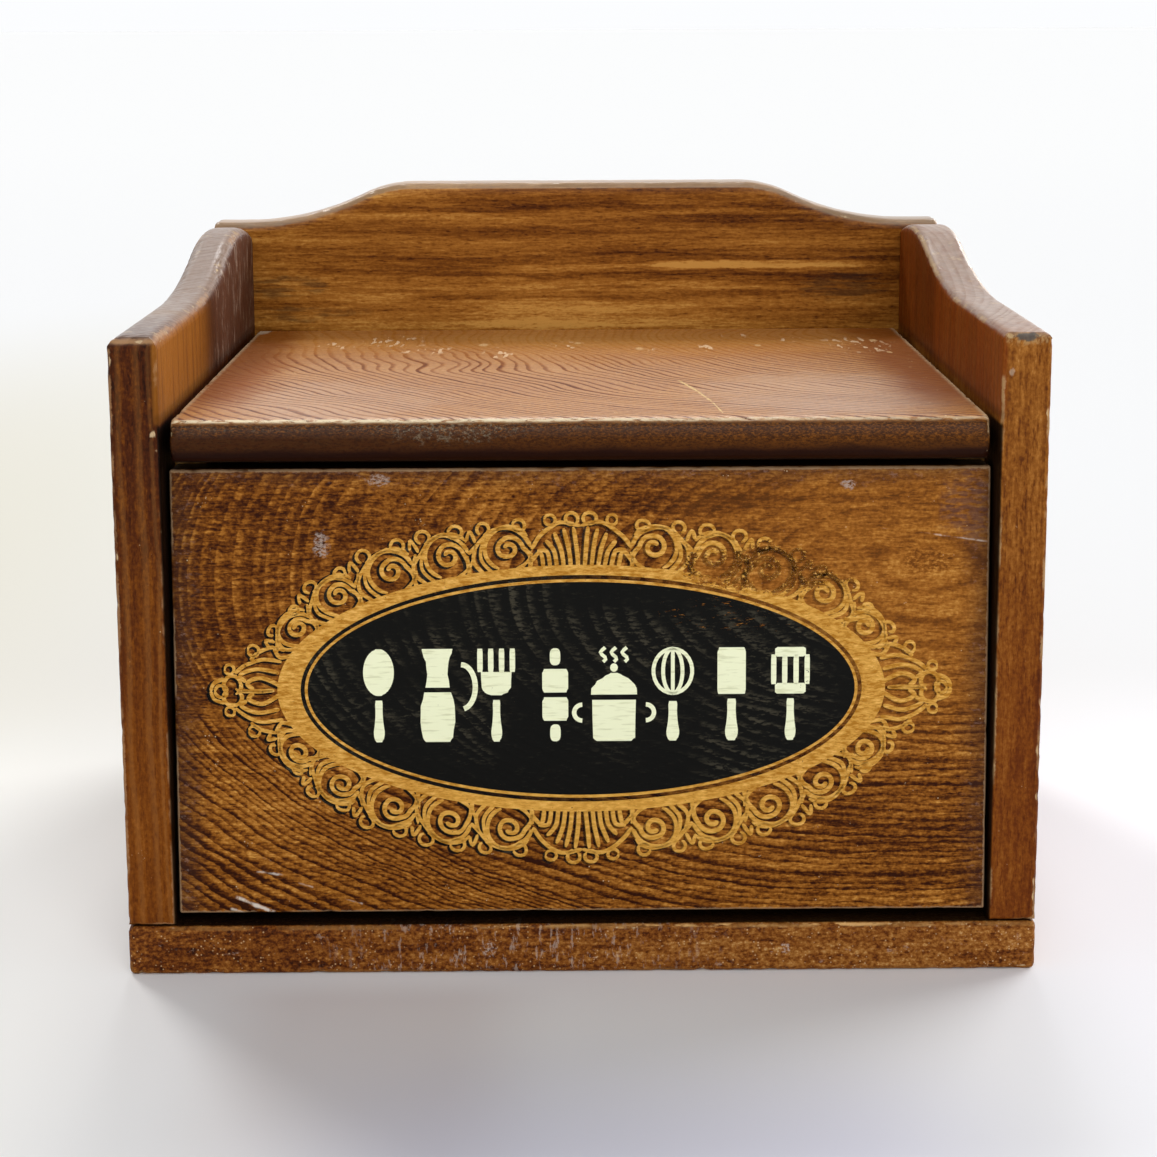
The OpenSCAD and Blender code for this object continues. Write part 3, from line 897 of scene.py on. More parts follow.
def right_side_wood():
    shades = stain("#34170a", "#582b0c", "#7c4714", "#9c6428", "#c0925a")
    wood = side_wood("right_side_stain", (40, 12, -60), shades, 0.48, 0.14, 0.19, 560.0)
    wood.tone = wood.tone + wood.ease(wood.z, 96, 40, 0.06, -0.08)
    edge = wood.ease(wood.y, -65.8, -66.4)
    wood.mark(edge * wood.ease(wood.z, 96, 40, 0.0, 0.25), tint("#7a3406"))
    inner = wood.ease(wood.x, 77.4, 76.4) * wood.ease(wood.z, 104, 106)
    wood.mark(inner * 0.6, tint("#6a2a06"))
    wood.mark(inner * wood.ease(wood.grain((0.03, 0.5, 0.5), 163, detail=3.0), 0.46, 0.6) * 0.4, tint("#8a4210"))
    band = wood.within(wood.y + wood.swing(2, (0.03, 0.03, 0.03), 151), 20, 14, 4)
    wood.mark(inner * band * 0.4, tint("#3a1604"))
    streaks = wood.ease(wood.grain((0.05, 0.2, 0.6), 158, detail=3.0), 0.44, 0.6)
    # Painted sheen: the up-facing scroll top turned pale grey-tan, standing in for reflected light, with dust.
    wood.mark(wood.top * wood.ease(wood.y, -64, -40, 0.3, 0.62), tint("#958172"))
    wood.mark(wood.top * streaks * 0.45, tint("#7c5134"))
    raw = wood.spot((80.5, -66.6, 119.9), (5.0, 1.8, 1.5), 0.6, 154, 0.9)
    wood.mark(raw * wood.ease(wood.grain((0.5, 2.2, 2.2), 155, detail=4.0, rough=0.7), 0.4, 0.58) * 0.7, tint("#b08a58"))
    wood.mark(wood.spot((80.4, -66.6, 120.0), (2.4, 2.0, 0.9), 0.6, 156, 0.8) * 0.85, tint("#4a4a48"))
    wood.mark(wood.spot((77.8, -66.4, 113.6), (0.5, 1.5, 0.9), 0.7, 161, 0.8) * 0.35, tint("#c8b49a"))
    wood.edge_wear(tint("#b59468"), reach=0.42, often=0.3, most=0.65, raw=tint("#c8a878"))
    return finish_side(wood, inner)


def base_wood():
    """Dark, scuffed base with rubbed edges and a golden painted highlight along its top front edge."""
    shades = stain("#2e1408", "#56290c", "#7e4818", "#a06a30", "#c69a60")
    wood = Timber("base_stain", "XYZ", shades, 0.5, seed=800.0)
    wood.rings((0, 60, -60), 2.2, taper=0.05, wander=4.0, ripple=1.0, jag=0.3)
    wood.draw_rings(0.14)
    wood.fibres(coarse=0.16, fine=0.2, streak=0.12, grit=0.48)
    wood.blotches(0.2, (0.06, 0.1, 0.3))
    wood.pores(0.14, scales=(0.5, 1.2, 0.7))
    wood.tone = wood.tone + wood.ease(wood.x, -80, 60, -0.1, 0.1)
    wood.specks(0.52, tint("#c19c70"), size=1.2)
    middle = wood.within(wood.x, -12, 30, 16)
    chatter = wood.ease(wood.grain((0.9, 0.4, 0.3), 82, detail=4.0, rough=0.7), 0.56, 0.66)
    wood.mark(chatter * middle * 0.5, tint("#b9a596"))
    scuff = wood.ease(wood.grain((0.3, 0.4, 0.6), 83, detail=5.0, rough=0.75), 0.62, 0.7)
    wood.mark(scuff * 0.4, tint("#bca596"))
    # Painted highlight: a thin golden line along the top front edge, where light catches it.
    line = wood.ease(abs(wood.z - 9.1 + wood.swing(0.3, (0.12, 0.12, 0.12), 84)), 0.1, 0.5, 1, 0)
    line = line * wood.ease(wood.y, -66.4, -67.0) * wood.ease(wood.grain((0.3, 1, 1), 85, detail=4.0), 0.44, 0.6)
    wood.mark(line * wood.within(wood.x, 26, 40, 20) * 0.9, tint("#e0b070"))
    for x, wide in ((-17.5, 1.3), (38, 1.0)):
        paint = wood.spot((x, -67, 4.6), (wide, 3, wide * 1.4), 0.6, 86, 0.9)
        wood.mark(paint * wood.ease(wood.grain((1.6, 2, 2), 87, detail=4.0), 0.46, 0.6) * 0.5, tint("#cfc0b4"))
    wood.edge_wear(tint("#966a38"), reach=0.4, often=0.3, most=0.5)
    # Painted shade: near-black on the base's top face in the gap under the front board.
    gap = wood.ease(wood.z, 9.1, 9.35) * wood.ease(wood.y, -66.7, -66.3) * wood.ease(wood.y, -58, -54, 1, 0)
    wood.mark(gap * wood.ease(abs(wood.x), 84.6, 84.2) * 0.95, GAP_SHADE)
    wood.height = wood.height + wood.grain((1.2, 1.2, 1.2), 90, detail=3.0) * 0.5
    return wood.finish(0.5, relief=0.7, gloss=0.05)


def cleat_wood():
    """Thinly stained strips inside the box."""
    wood = Timber("cleat_stain", "ZXY", stain("#5a3a1a", "#8a6232", "#ab7f48", "#c59d66", "#dcbb8a"), 0.55, seed=900.0)
    wood.rings((0, 40, 40), 1.6, taper=0.02, wander=2.0)
    wood.draw_rings(0.3)
    wood.fibres()
    wood.edge_wear(tint("#d8bd90"), often=0.4, most=0.5)
    return wood.finish(0.6, relief=0.4)


def nail_finish():
    """Dull steel with brown stain and specks of rust."""
    c = bpy.context.scene.card_box_colours
    steel = Paint("nail_steel")
    at = steel.place()
    tarnish = steel.ease(steel.cloud(at, (0.8, 0.8, 0.8), 3, detail=5.0), 0.42, 0.6)
    shade = steel.mix(tarnish, tuple(c.steel), tint("#3a2417"))
    rough = tarnish * 0.3 + 0.35
    relief = steel.cloud(at, (3, 3, 3), 5, detail=3.0) * 0.1
    return steel.surface(shade, rough, relief, metallic=0.8 - tarnish * 0.5, gloss=0.5)


def gold_ink():
    """Ochre gold ink, rubbed through in patches at the upper right."""
    c = bpy.context.scene.card_box_colours
    ink = Timber("gold_ink", "XZY", [], 0.0, seed=600.0)
    fine = ink.grain((0.5, 1.8, 1.8), 1, detail=3.0, rough=0.7)
    shade = ink.mix(ink.ease(fine, 0.36, 0.58), tint("#a8701c"), tuple(c.gold))
    shade = ink.mix(ink.ease(fine, 0.56, 0.68) * 0.7, shade, tint("#eab765"))
    shade = ink.mix(ink.spot((0, -64, 30), (40, 40, 9), 0.4) * 0.35, shade, tint("#e2ac4c"))
    worn = ink.spot((37, -62, 76.5), (19, 40, 5.2), 0.45, 4)
    line = ink.scratch((-2, -62, 80.2), (36, -62, 80.0), 0.55, 5, 0.35)
    rubbed = ink.ease(ink.grain((1.6, 2.2, 2.2), 6, detail=4.0, rough=0.75) + ink.most(worn, line) * 0.24, 0.64, 0.69)
    return ink.surface(shade, fine * 0.2 + 0.38, fine * 0.03, 0.3, alpha=1 - rubbed, gloss=0.1)


def black_ink(name, wear, fade=False):
    """Black ink through which the grain of the front board still shows, with painted glints along its late wood."""
    c = bpy.context.scene.card_box_colours
    ink = Timber(name, "XZY", [], 0.0)
    ink.rings(**FRONT_RINGS, crowd=FRONT_CROWD)
    fine = ink.grain((0.6, 1.9, 1.9), 1, detail=3.0, rough=0.7)
    region = ink.ease(ink.grain((0.04, 0.06, 0.06), 2), 0.4, 0.6)
    # Painted highlights: grey glints along the late wood, as light catching the grain.
    glint = ink.late * region * ink.ease(fine, 0.44, 0.56)
    shade = ink.mix(glint * 0.5, tuple(c.black), tint("#5c5646"))
    shade = ink.mix(ink.ease(fine, 0.58, 0.72) * (region * 0.6 + 0.15), shade, tint("#433f33"))
    scored = ink.spot((28, -62, 68), (16, 40, 6), 0.4, 9)
    rubbed = ink.grain((0.5, 2.6, 2.6), 6, detail=5.0, rough=0.75) + scored * 0.1
    share = ink.ease(rubbed, 1 - wear, 1.05 - wear, 1, 0)
    if fade:
        share = share * ink.ease(ink.x + ink.swing(14, (0.04, 0.04, 0.04), 7), -30, 30, 0.9, 0.25)
    return ink.surface(shade, fine * 0.15 + 0.36, ink.late * 0.05 + fine * 0.05, 0.4, alpha=share, gloss=0.04)


def cream_paint():
    """Cream paint, with the fibres and a few small chips showing."""
    c = bpy.context.scene.card_box_colours
    paint = Timber("cream_paint", "XZY", [], 0.0, seed=700.0)
    fine = paint.grain((0.25, 2.0, 2.0), 1, detail=3.0)
    shade = paint.mix(paint.ease(fine, 0.5, 0.7) * 0.6, tuple(c.cream), tint("#c6c89c"))
    chipped = paint.spot((42.5, -64, 54.5), (2.4, 40, 4.2), 0.5, 8, 0.6) * 0.1
    chips = paint.ease(paint.grain((1.0, 1.6, 1.6), 6, detail=4.0, rough=0.75) + chipped, 0.7, 0.74)
    return paint.surface(shade, 0.5, fine * 0.03, 0.3, alpha=1 - chips, gloss=0.1)


# Boards


def shape():
    return bpy.context.scene.card_box_shape


def scroll_side(node):
    """A side with its scrolled top, drawn in depth and height and extruded across."""
    s = shape()
    board = Board(node)
    low, high = board.low, board.high
    deep, crest_z = high.y - low.y, high.z
    turn = math.degrees(math.acos(1 - s.scroll_rise / (s.hollow_radius + s.crest_radius)))
    crest_y = deep - s.crest_back
    rear = math.degrees(math.acos(s.crest_back / s.crest_radius))
    level = crest_z - s.scroll_rise
    hollow_y = crest_y - (s.hollow_radius + s.crest_radius) * math.sin(math.radians(turn))
    crest_end = crest_z - s.crest_radius * (1 - math.sin(math.radians(rear)))
    outline = Outline(board.bm, (0, low.z)).line(deep, low.z).line(deep, crest_end)
    outline.turn(crest_y, crest_z - s.crest_radius, 90 + turn - rear, 20)
    outline.turn(hollow_y, level + s.hollow_radius, -turn, 16)
    outline.line(0, level)
    outline.thicken(board.size.x)
    board.stand(((0, 1, 0), (0, 0, 1), (1, 0, 0)), (low.x, low.y, 0))
    top = lambda a, b: min(a.z, b.z) > level - 1e-5
    board.ease_edges((2.6 if node == "left_side" else 1.5) * MM, top, steps=4)
    board.ease_edges(0.8 * MM, lambda a, b: not top(a, b) and abs(a.y - b.y) < 1e-5)
    return board


class BOX_OT_sides(Operator):
    """Make the two scrolled sides, with the holes of their pivot nails"""

    bl_idname = "card_box.sides"
    bl_label = "Sides"

    def execute(self, context):
        chips = {
            "left_side": [((-77.2, -66.6, 102.6), 0.6, 0.4), ((-79.5, -66.6, 120.7), 1.2, 0.5)],
            "right_side": [
                ((77.5, -66.4, 120.6), 0.9, 0.5),
                ((82.5, -66.6, 120.7), 0.8, 0.4),
                *(((85, -66.6, z), 0.85, 0.45) for z in (52.2, 42.6, 33.0, 17.4, 13.5, 106)),
            ],
        }
        for side, name in ((-1, "left_side"), (1, "right_side")):
            board = scroll_side(name)
            holes = [
                hole
                for pin in ("lid_pin", "front_pin")
                for hole in nail_holes(f"{name.split('_')[0]}_{pin}", 0, side, 0.8 * MM)
            ]
            board.drill(holes).rule(1.5).wear(0.5, seed=3.0 * side, chips=chips[name])
            finish = (left_side_wood if side < 0 else right_side_wood)()
            board.place(f"{name}_board", "carcass", "side_wood", finish)
        return {"FINISHED"}


class BOX_OT_back(Operator):
    """Make the back panel with its crowned top"""

    bl_idname = "card_box.back"
    bl_label = "Back panel"

    def execute(self, context):
        s = shape()
        board = Board("back_panel")
        half, base, crown = board.high.x, board.low.z, board.high.z
        shoulder = crown - s.crown_rise
        both = s.crown_radius + s.crown_hollow
        turn = math.degrees(math.acos(1 - s.crown_rise / both))
        foot = s.crown_half + both * math.sin(math.radians(turn))
        outline = Outline(board.bm, (-half, base)).line(half, base).line(half, shoulder).line(foot, shoulder)
        outline.turn(foot, shoulder + s.crown_hollow, -turn, 14)
        outline.turn(s.crown_half, crown - s.crown_radius, turn, 14)
        outline.line(-s.crown_half, crown)
        outline.turn(-s.crown_half, crown - s.crown_radius, turn, 14)
        outline.turn(-foot, shoulder + s.crown_hollow, -turn, 14)
        outline.line(-half, shoulder)
        outline.thicken(board.size.y)
        board.stand(((1, 0, 0), (0, 0, 1), (0, -1, 0)), (0, board.high.y, 0))
        front = board.low.y + 1e-5
        board.ease_edges(2.2 * MM, lambda a, b: min(a.z, b.z) > shoulder - 1e-5 and max(a.y, b.y) < front, steps=4)
        board.ease_edges(1.1 * MM, lambda a, b: max(a.z, b.z) < shoulder + 1e-5 or min(a.y, b.y) > front)
        board.drill(nail_holes("back_nails", 1, 1, 0.02 * MM))
        board.rule(1.6).wear(0.4, seed=11.0)
        board.place("back_board", "carcass", "back_wood", back_wood())
        return {"FINISHED"}


class BOX_OT_base(Operator):
    """Make the base"""

    bl_idname = "card_box.base"
    bl_label = "Base"

    def execute(self, context):
        board = Board("base_board").block()
        board.ease_edges(1.1 * MM)
        board.drill(nail_holes("base_nails", 2, -1, 0.02 * MM))
        board.rule(1.6).wear(0.5, seed=17.0)
        board.place("base_plank", "carcass", "base_wood", base_wood())
        return {"FINISHED"}


class BOX_OT_cleats(Operator):
    """Make the two upright cleats behind the front board"""

    bl_idname = "card_box.cleats"
    bl_label = "Cleats"

    def execute(self, context):
        finish = cleat_wood()
        for side, name in ((-1, "left"), (1, "right")):
            board = Board(f"{name}_front_cleat").block()
            board.ease_edges(0.5 * MM, steps=2)
            heads = [h for h in nail_holes("cleat_brads", 0, -side, 0.02 * MM)]
            board.drill([h for h in heads if h[0].x * side > 0])
            board.rule(1.5, (0.6,)).wear(0.2, seed=23.0)
            board.place(f"{name}_cleat_strip", "carcass", "cleat_wood", finish)
        return {"FINISHED"}


class BOX_OT_lid(Operator):
    """Make the lid with its round nose and half-round rear edge"""

    bl_idname = "card_box.lid"
    bl_label = "Lid"

    def execute(self, context):
        nose = shape().nose_radius
        board = Board("lid_board")
        low, high = board.low, board.high
        half = (high.z - low.z) / 2
        pin_y = high.y - half
        outline = Outline(board.bm, (low.y + nose, low.z)).line(pin_y, low.z)
        outline.turn(pin_y, low.z + half, 180, 16)
        outline.line(low.y + nose, high.z)
        outline.turn(low.y + nose, high.z - nose, 90, 8)
        outline.line(low.y, low.z + nose)
        outline.turn(low.y + nose, low.z + nose, 90, 8)
        outline.thicken(board.size.x)
        board.stand(((0, 1, 0), (0, 0, 1), (1, 0, 0)), (low.x, 0, 0))
        board.ease_edges(0.7 * MM)
        board.edges.append((Vector((low.x, low.y + 1.1 * MM, high.z)), Vector((high.x, low.y + 1.1 * MM, high.z)), 0))
        board.rule(1.5).wear(0.4, seed=29.0)
        board.place("lid_plank", "lid", "lid_wood", lid_wood())
        return {"FINISHED"}


def on_front(x, up, out=0.0):
    """The place of a point on the front board's face, x across it and up its slope."""
    s = shape()
    pivot = Vector(JOINTS["front_hinge"]["pos_m"])
    lean = Matrix.Rotation(-s.front_lean, 4, "X")
    local = Vector((x, -s.front_thick / 2 - out, up - s.front_foot))
    return pivot + (lean @ local)


def front_frame():
    """Matrix from ground X and Y, with Z outwards, to the front board's face."""
    origin = on_front(0, 0)
    across = on_front(1, 0) - origin
    up = on_front(0, 1) - origin
    return Matrix.Translation(origin) @ Matrix((across, up, across.cross(up))).transposed().to_4x4()


class BOX_OT_front(Operator):
    """Make the drop front"""

    bl_idname = "card_box.front"
    bl_label = "Drop front"

    def execute(self, context):
        s = shape()
        board = Board("drop_front")
        bmesh.ops.create_cube(board.bm, size=1)
        bmesh.ops.scale(board.bm, vec=(board.size.x, s.front_thick, s.front_high), verts=board.bm.verts)
        spot = Vector((0, 0, s.front_high / 2 - s.front_foot))
        bmesh.ops.translate(board.bm, vec=spot, verts=board.bm.verts)
        pivot = Vector(JOINTS["front_hinge"]["pos_m"])
        turn = Matrix.Rotation(-s.front_lean, 4, "X")
        board.bm.transform(Matrix.Translation(pivot) @ turn)
        board.ease_edges(0.6 * MM)
        chips = [((-75, -61, 98.5), 1.8, 0.6), ((75, -61, 98.5), 1.0, 0.4), ((-75, -64, 88), 0.9, 0.3)]
        board.rule(1.5).wear(0.35, seed=31.0, chips=chips)
        board.place("front_plank", "front", "front_wood", front_wood())
        return {"FINISHED"}


# Printed medallion


def arc_path(x, y, radius, start, end, steps=14, squash=1.0):
    """Points of an arc in degrees; below 1, squash flattens it."""
    angles = [math.radians(start + (end - start) * i / steps) for i in range(steps + 1)]
    return [(x + radius * math.cos(a), y + radius * squash * math.sin(a)) for a in angles]


def spiral_path(x, y, outer, inner, start, end, steps=30):
    """Points of a spiral that closes in from the outer to the inner radius."""
    points = []
    for i in range(steps + 1):
        share = i / steps
        a = math.radians(start + (end - start) * share)
        r = outer + (inner - outer) * share**0.8
        points.append((x + r * math.cos(a), y + r * math.sin(a)))
    return points


def bend(points, steps=12):
    """A smooth curve through the given points."""
    ends = [points[0]] + list(points) + [points[-1]]
    curve = []
    for p0, p1, p2, p3 in zip(ends, ends[1:], ends[2:], ends[3:]):
        for i in range(steps):
            t = i / steps
            curve.append(
                tuple(
                    0.5 * (2 * b + (c - a) * t + (2 * a - 5 * b + 4 * c - d) * t * t + (3 * b - a - 3 * c + d) * t**3)
                    for a, b, c, d in zip(p0, p1, p2, p3)
                )
            )
    return curve + [tuple(points[-1])]


def volute(length, height, lean=1):
    """One scroll of the frame: a curl with waves beside it, under a scalloped line with beads.

    It is drawn as if the oval's rim were straight: from 0 to length along it, and outwards.
    """
    r = height * 0.31
    cx, cy = length * 0.36, height * 0.5
    crest = [(0.0, height * 0.5), (length * 0.12, height * 0.78), (cx, height * 0.96), (length * 0.62, height * 0.9)]
    crest += [(length * 0.84, height * 0.66), (length, height * 0.5)]
    lines = [(bend(crest, 6), 0.95)]
    stem = bend([(length * 0.04, 0.0), (length * 0.03, height * 0.3), (cx - r, cy)], 6)[:-1]
    lines.append((stem + spiral_path(cx, cy, r, 0.7, 180, -330), 1.0))
    lines.append((arc_path(cx, cy, r + 1.45, 150, -62, 18), 0.9))
    lines.append((arc_path(cx - r * 0.1, cy, r + 1.45, 196, 262, 8), 0.8))
    for i in range(4):
        x = cx + r + 2.2 + i * 1.5
        reach = height * (0.86 - 0.1 * i)
        if x < length + 0.6:
            lines.append((bend([(x - 1.6, 0.0), (x + 0.1, reach * 0.42), (x - 0.9, reach * 0.92)], 6), 0.85))
    bead = min(1.15, height * 0.13)
    lines.append((arc_path(length * 0.17, height * 0.98, bead, 0, 360, 14), 0.75))
    lines.append((arc_path(length * 0.72, height * 1.0, bead, -60, 270, 14), 0.75))
    lines.append((bend([(length * 0.86, height * 0.72), (length * 0.93, height * 0.98), (length, height * 0.8)], 6), 0.8))
    return lines


def fan(half, height):
    """Half of the shell in the middle of the top and of the bottom: ribs that spread from the axis."""
    lines = []
    for i in range(6):
        x = 0.55 + 1.28 * i
        tip = 1.0 - 0.035 * i * i
        lines.append((bend([(x, 0.0), (x * 1.05 + 0.2, height * 0.4), (x * 1.32 + 0.5, height * tip)], 6), 0.95))
    lines.append((bend([(0, height * 1.02), (half * 0.4, height * 1.1), (half * 0.8, height * 0.8), (half, height * 0.5)], 6), 0.9))
    lines.append((arc_path(1.5, height * 1.2, 1.1, 230, -130, 14), 0.8))
    lines.append((arc_path(half * 0.6, height * 1.16, 0.95, 0, 360, 12), 0.7))
    return lines


def finial(length):
    """Half of the finial at each end of the oval, mirrored over the level axis: along it and up."""
    return [
        (bend([(0.0, 0.7), (length * 0.28, 2.5), (length * 0.48, 1.5), (length * 0.4, 0.3)], 8), 0.95),
        (bend([(length * 0.04, 3.4), (length * 0.34, 4.2), (length * 0.58, 2.9), (length * 0.5, 1.7)], 8), 0.9),
        (bend([(0.0, 5.4), (length * 0.26, 6.0), (length * 0.5, 4.9), (length * 0.66, 3.3)], 8), 0.85),
        (bend([(-0.6, 7.4), (length * 0.14, 8.1), (length * 0.34, 7.2), (length * 0.44, 5.9)], 8), 0.85),
        (arc_path(length * 0.7, 1.1, 1.7, 250, -60, 16), 0.9),
        (bend([(length * 0.8, 2.3), (length * 0.95, 1.5), (length, 0)], 6), 0.9),
        (arc_path(length * 0.86, 0.0, 1.1, 0, 180, 10), 0.8),
        (arc_path(length * 0.4, 7.6, 1.0, 0, 360, 12), 0.7),
        (arc_path(length * 0.74, 4.0, 0.9, 0, 360, 12), 0.7),
        (bend([(length * 0.1, 0.0), (length * 0.34, 0.1), (length * 0.62, 0.0)], 6), 0.8),
    ]


class Rim:
    """The oval that the scrollwork grows from; places on it go by distance along it from the top."""

    def __init__(self, wide, high, steps=720):
        self.wide, self.high = wide, high
        self.angles = np.linspace(math.pi / 2, 0, steps + 1)
        x, y = wide * np.cos(self.angles), high * np.sin(self.angles)
        self.far = np.concatenate([[0], np.cumsum(np.hypot(np.diff(x), np.diff(y)))])
        self.quarter = self.far[-1]

    def place(self, far, out):
        a = np.interp(far, self.far, self.angles)
        x, y = self.wide * math.cos(a), self.high * math.sin(a)
        normal = Vector((math.cos(a) / self.wide, math.sin(a) / self.high)).normalized()
        return (x + normal.x * out, y + normal.y * out)


def scroll_lines():
    """All lines of the scrollwork about the medallion's middle, each with its width as a share."""
    rim = Rim(55.4, 22.9)
    quarter = []
    half_fan = 9.0
    for path, width in fan(half_fan, 7.6):
        quarter.append(([rim.place(x, y) for x, y in path], width))
    sizes = (13.5, 12.0, 12.8, 11.4, 9.6)
    heights = (8.4, 8.8, 8.6, 7.6, 6.0)
    spare = rim.quarter - half_fan - 6.0
    scale = spare / sum(sizes)
    start = half_fan
    for size, height in zip(sizes, heights):
        size *= scale
        for path, width in volute(size, height):
            quarter.append(([rim.place(start + x, y) for x, y in path], width))
        start += size
    for path, width in finial(13.2):
        quarter.append(([(rim.wide + x, y) for x, y in path], width))
    lines = []
    for sx in (1, -1):
        for sy in (1, -1):
            lines += [([(x * sx, y * sy) for x, y in path], width) for path, width in quarter]
    return lines


def drawn(name, lines, width, thick, shift=(0.0, 0.0), shake=0.0, sides=1):
    """Flat raised lines on the front board's face.

    lines holds paths in millimetres about the medallion's middle, each with its width as a share of width.
    """
    curve = bpy.data.curves.new(name, "CURVE")
    curve.dimensions = "3D"
    curve.twist_mode = "Z_UP"
    curve.bevel_depth = 1.0
    curve.bevel_resolution = sides
    curve.use_fill_caps = True
    for path, share in lines:
        shares = share if isinstance(share, list) else pen(path, share)
        spline = curve.splines.new("POLY")
        spline.points.add(len(path) - 1)
        for point, (x, y), part in zip(spline.points, path, shares):
            sway = noise.noise_vector(Vector((x * 0.23, y * 0.23, shift[0]))) * shake
            point.co = (x + shift[0] + sway.x, y + shift[1] + sway.y, 0, 1)
            point.radius = width / 2 * part
    thing = bpy.data.objects.new(name, curve)
    bpy.context.scene.collection.objects.link(thing)
    mesh = bpy.data.meshes.new_from_object(thing.evaluated_get(bpy.context.evaluated_depsgraph_get()))
    bpy.data.objects.remove(thing)
    for v in mesh.vertices:
        v.co.z = max(-1.0, min(1.0, v.co.z / 0.22)) * thick / MM
    middle = Matrix.Translation((0, bpy.context.scene.card_box_medallion.up, 0))
    mesh.transform(front_frame() @ middle @ Matrix.Diagonal((MM, MM, MM, 1)))
    made = bpy.data.objects.new(name, mesh)
    bpy.context.scene.collection.objects.link(made)
    return made


def pen(path, share):
    """Widths along a path that start and end round."""
    ends = (0.45, 0.85)
    shares = [share] * len(path)
    for i, part in enumerate(ends):
        if len(path) > 2 * len(ends):
            shares[i] = shares[-1 - i] = share * part
    return shares


def oval(bm, wide, high, segments=160):
    """An oval edge about the medallion's middle."""
    made = bmesh.ops.create_circle(bm, cap_ends=False, segments=segments, radius=1)
    bmesh.ops.scale(bm, vec=(wide, high, 1), verts=made["verts"])
    return list({e for v in made["verts"] for e in v.link_edges})


def printed_plate(name, outer, inner, thick, shift=(0.0, 0.0)):
    """A flat oval, or an oval band when inner is given, printed on the front board; sizes in metres."""
    bm = bmesh.new()
    rings = [oval(bm, *outer)] + ([oval(bm, *inner)] if inner else [])
    if inner:
        bmesh.ops.bridge_loops(bm, edges=rings[0] + rings[1])
    else:
        bmesh.ops.contextual_create(bm, geom=rings[0])
    grown = bmesh.ops.extrude_face_region(bm, geom=bm.faces[:])
    top = [v for v in grown["geom"] if isinstance(v, bmesh.types.BMVert)]
    bmesh.ops.translate(bm, vec=(0, 0, thick * 2), verts=top)
    bmesh.ops.translate(bm, vec=(shift[0], shift[1], -thick), verts=bm.verts)
    bmesh.ops.recalc_face_normals(bm, faces=bm.faces)
    middle = Matrix.Translation((0, bpy.context.scene.card_box_medallion.up, 0))
    bm.transform(front_frame() @ middle)
    return mesh_object(name, bm)


class BOX_OT_medallion(Operator):
    """Print the medallion: black oval, gold scrollwork and the dark print under it"""

    bl_idname = "card_box.medallion"
    bl_label = "Medallion"

    def execute(self, context):
        m = context.scene.card_box_medallion
        gold = gold_ink()
        black = black_ink("black_ink", 0.3)
        under = black_ink("under_ink", 0.36, fade=True)
        lines = scroll_lines()
        width = m.line / MM
        pieces = (
            (drawn("under_print", lines, width * 1.1, m.ink * 0.5, (-0.36, -0.24), 0.25), under),
            (printed_plate("under_oval", (m.oval_wide + 1.5 * MM, m.oval_high + 1.5 * MM), None, m.ink * 0.4), under),
            (printed_plate("black_oval", (m.oval_wide, m.oval_high), None, m.ink * 0.6), black),
            (drawn("gold_scrollwork", lines, width, m.ink, (0, 0), 0.25), gold),
            (
                printed_plate(
                    "gold_line",
                    (m.oval_wide + 0.55 * MM, m.oval_high + 0.55 * MM),
                    (m.oval_wide, m.oval_high),
                    m.ink * 0.9,
                ),
                gold,
            ),
            (
                printed_plate(
                    "gold_band",
                    (m.oval_wide + 5.6 * MM, m.oval_high + 3.2 * MM),
                    (m.oval_wide + 1.3 * MM, m.oval_high + 1.3 * MM),
                    m.ink * 0.9,
                ),
                gold,
            ),
        )
        for thing, material in pieces:
            finish_piece(thing, "front", "front_wood", material)
        return {"FINISHED"}


def grip(x, low, high, wide=2.2):
    """An upright handle that swells towards its foot."""
    steps = 12
    path = [(x, low + (high - low) * i / steps) for i in range(steps + 1)]
    shares = [0.62, 1.05, 1.2, 1.22, 1.12, 1.0, 0.92, 0.86, 0.82, 0.8, 0.82, 0.84, 0.72]
    return (path, [s * wide for s in shares])


def bowl(x, low, high, wide, square=2.0):
    """An upright oval; above 2, square makes its sides straighter."""
    steps = 20
    path = [(x, low + (high - low) * i / steps) for i in range(steps + 1)]
    spans = [abs(2 * i / steps - 1) for i in range(steps + 1)]
    return (path, [wide * max(0.03, 1 - s**square) ** (1 / square) for s in spans])


def bar(x0, y0, x1, y1, wide):
    """A straight bar with nearly square ends."""
    path = [(x0 + (x1 - x0) * i / 6, y0 + (y1 - y0) * i / 6) for i in range(7)]
    return (path, [wide * s for s in (0.86, 1, 1, 1, 1, 1, 0.86)])


def turned(x, levels):
    """A silhouette given by pairs of height and width."""
    return ([(x, y) for y, wide in levels], [wide for y, wide in levels])


def ring_of(x, y, wide, high, start, end, stroke, steps=26):
    """A bent bar along an oval, from one angle to another."""
    angles = [math.radians(start + (end - start) * i / steps) for i in range(steps + 1)]
    return ([(x + wide * math.cos(a), y + high * math.sin(a)) for a in angles], [stroke] * (steps + 1))


TOP, FOOT, GAP = 8.8, -8.8, 0.9


def spoon(x):
    return [grip(x, FOOT, -GAP), bowl(x, 0, TOP, 7.6)]


def fork(x):
    tines = [bar(x + dx, 4.4, x + dx, TOP, 1.35) for dx in (-3.0, -1.0, 1.0, 3.0)]
    return [grip(x, FOOT, -GAP), turned(x, ((0, 2.6), (0.5, 5.6), (1.4, 7.2), (4.4, 7.6)))] + tines


def whisk(x):
    wires = [ring_of(x, 4.4, wide, 4.2, -90, 270, 0.95) for wide in (3.6, 1.8)]
    return [grip(x, FOOT, -GAP - 0.4, 2.6), bar(x, 0.2, x, TOP, 0.95)] + wires


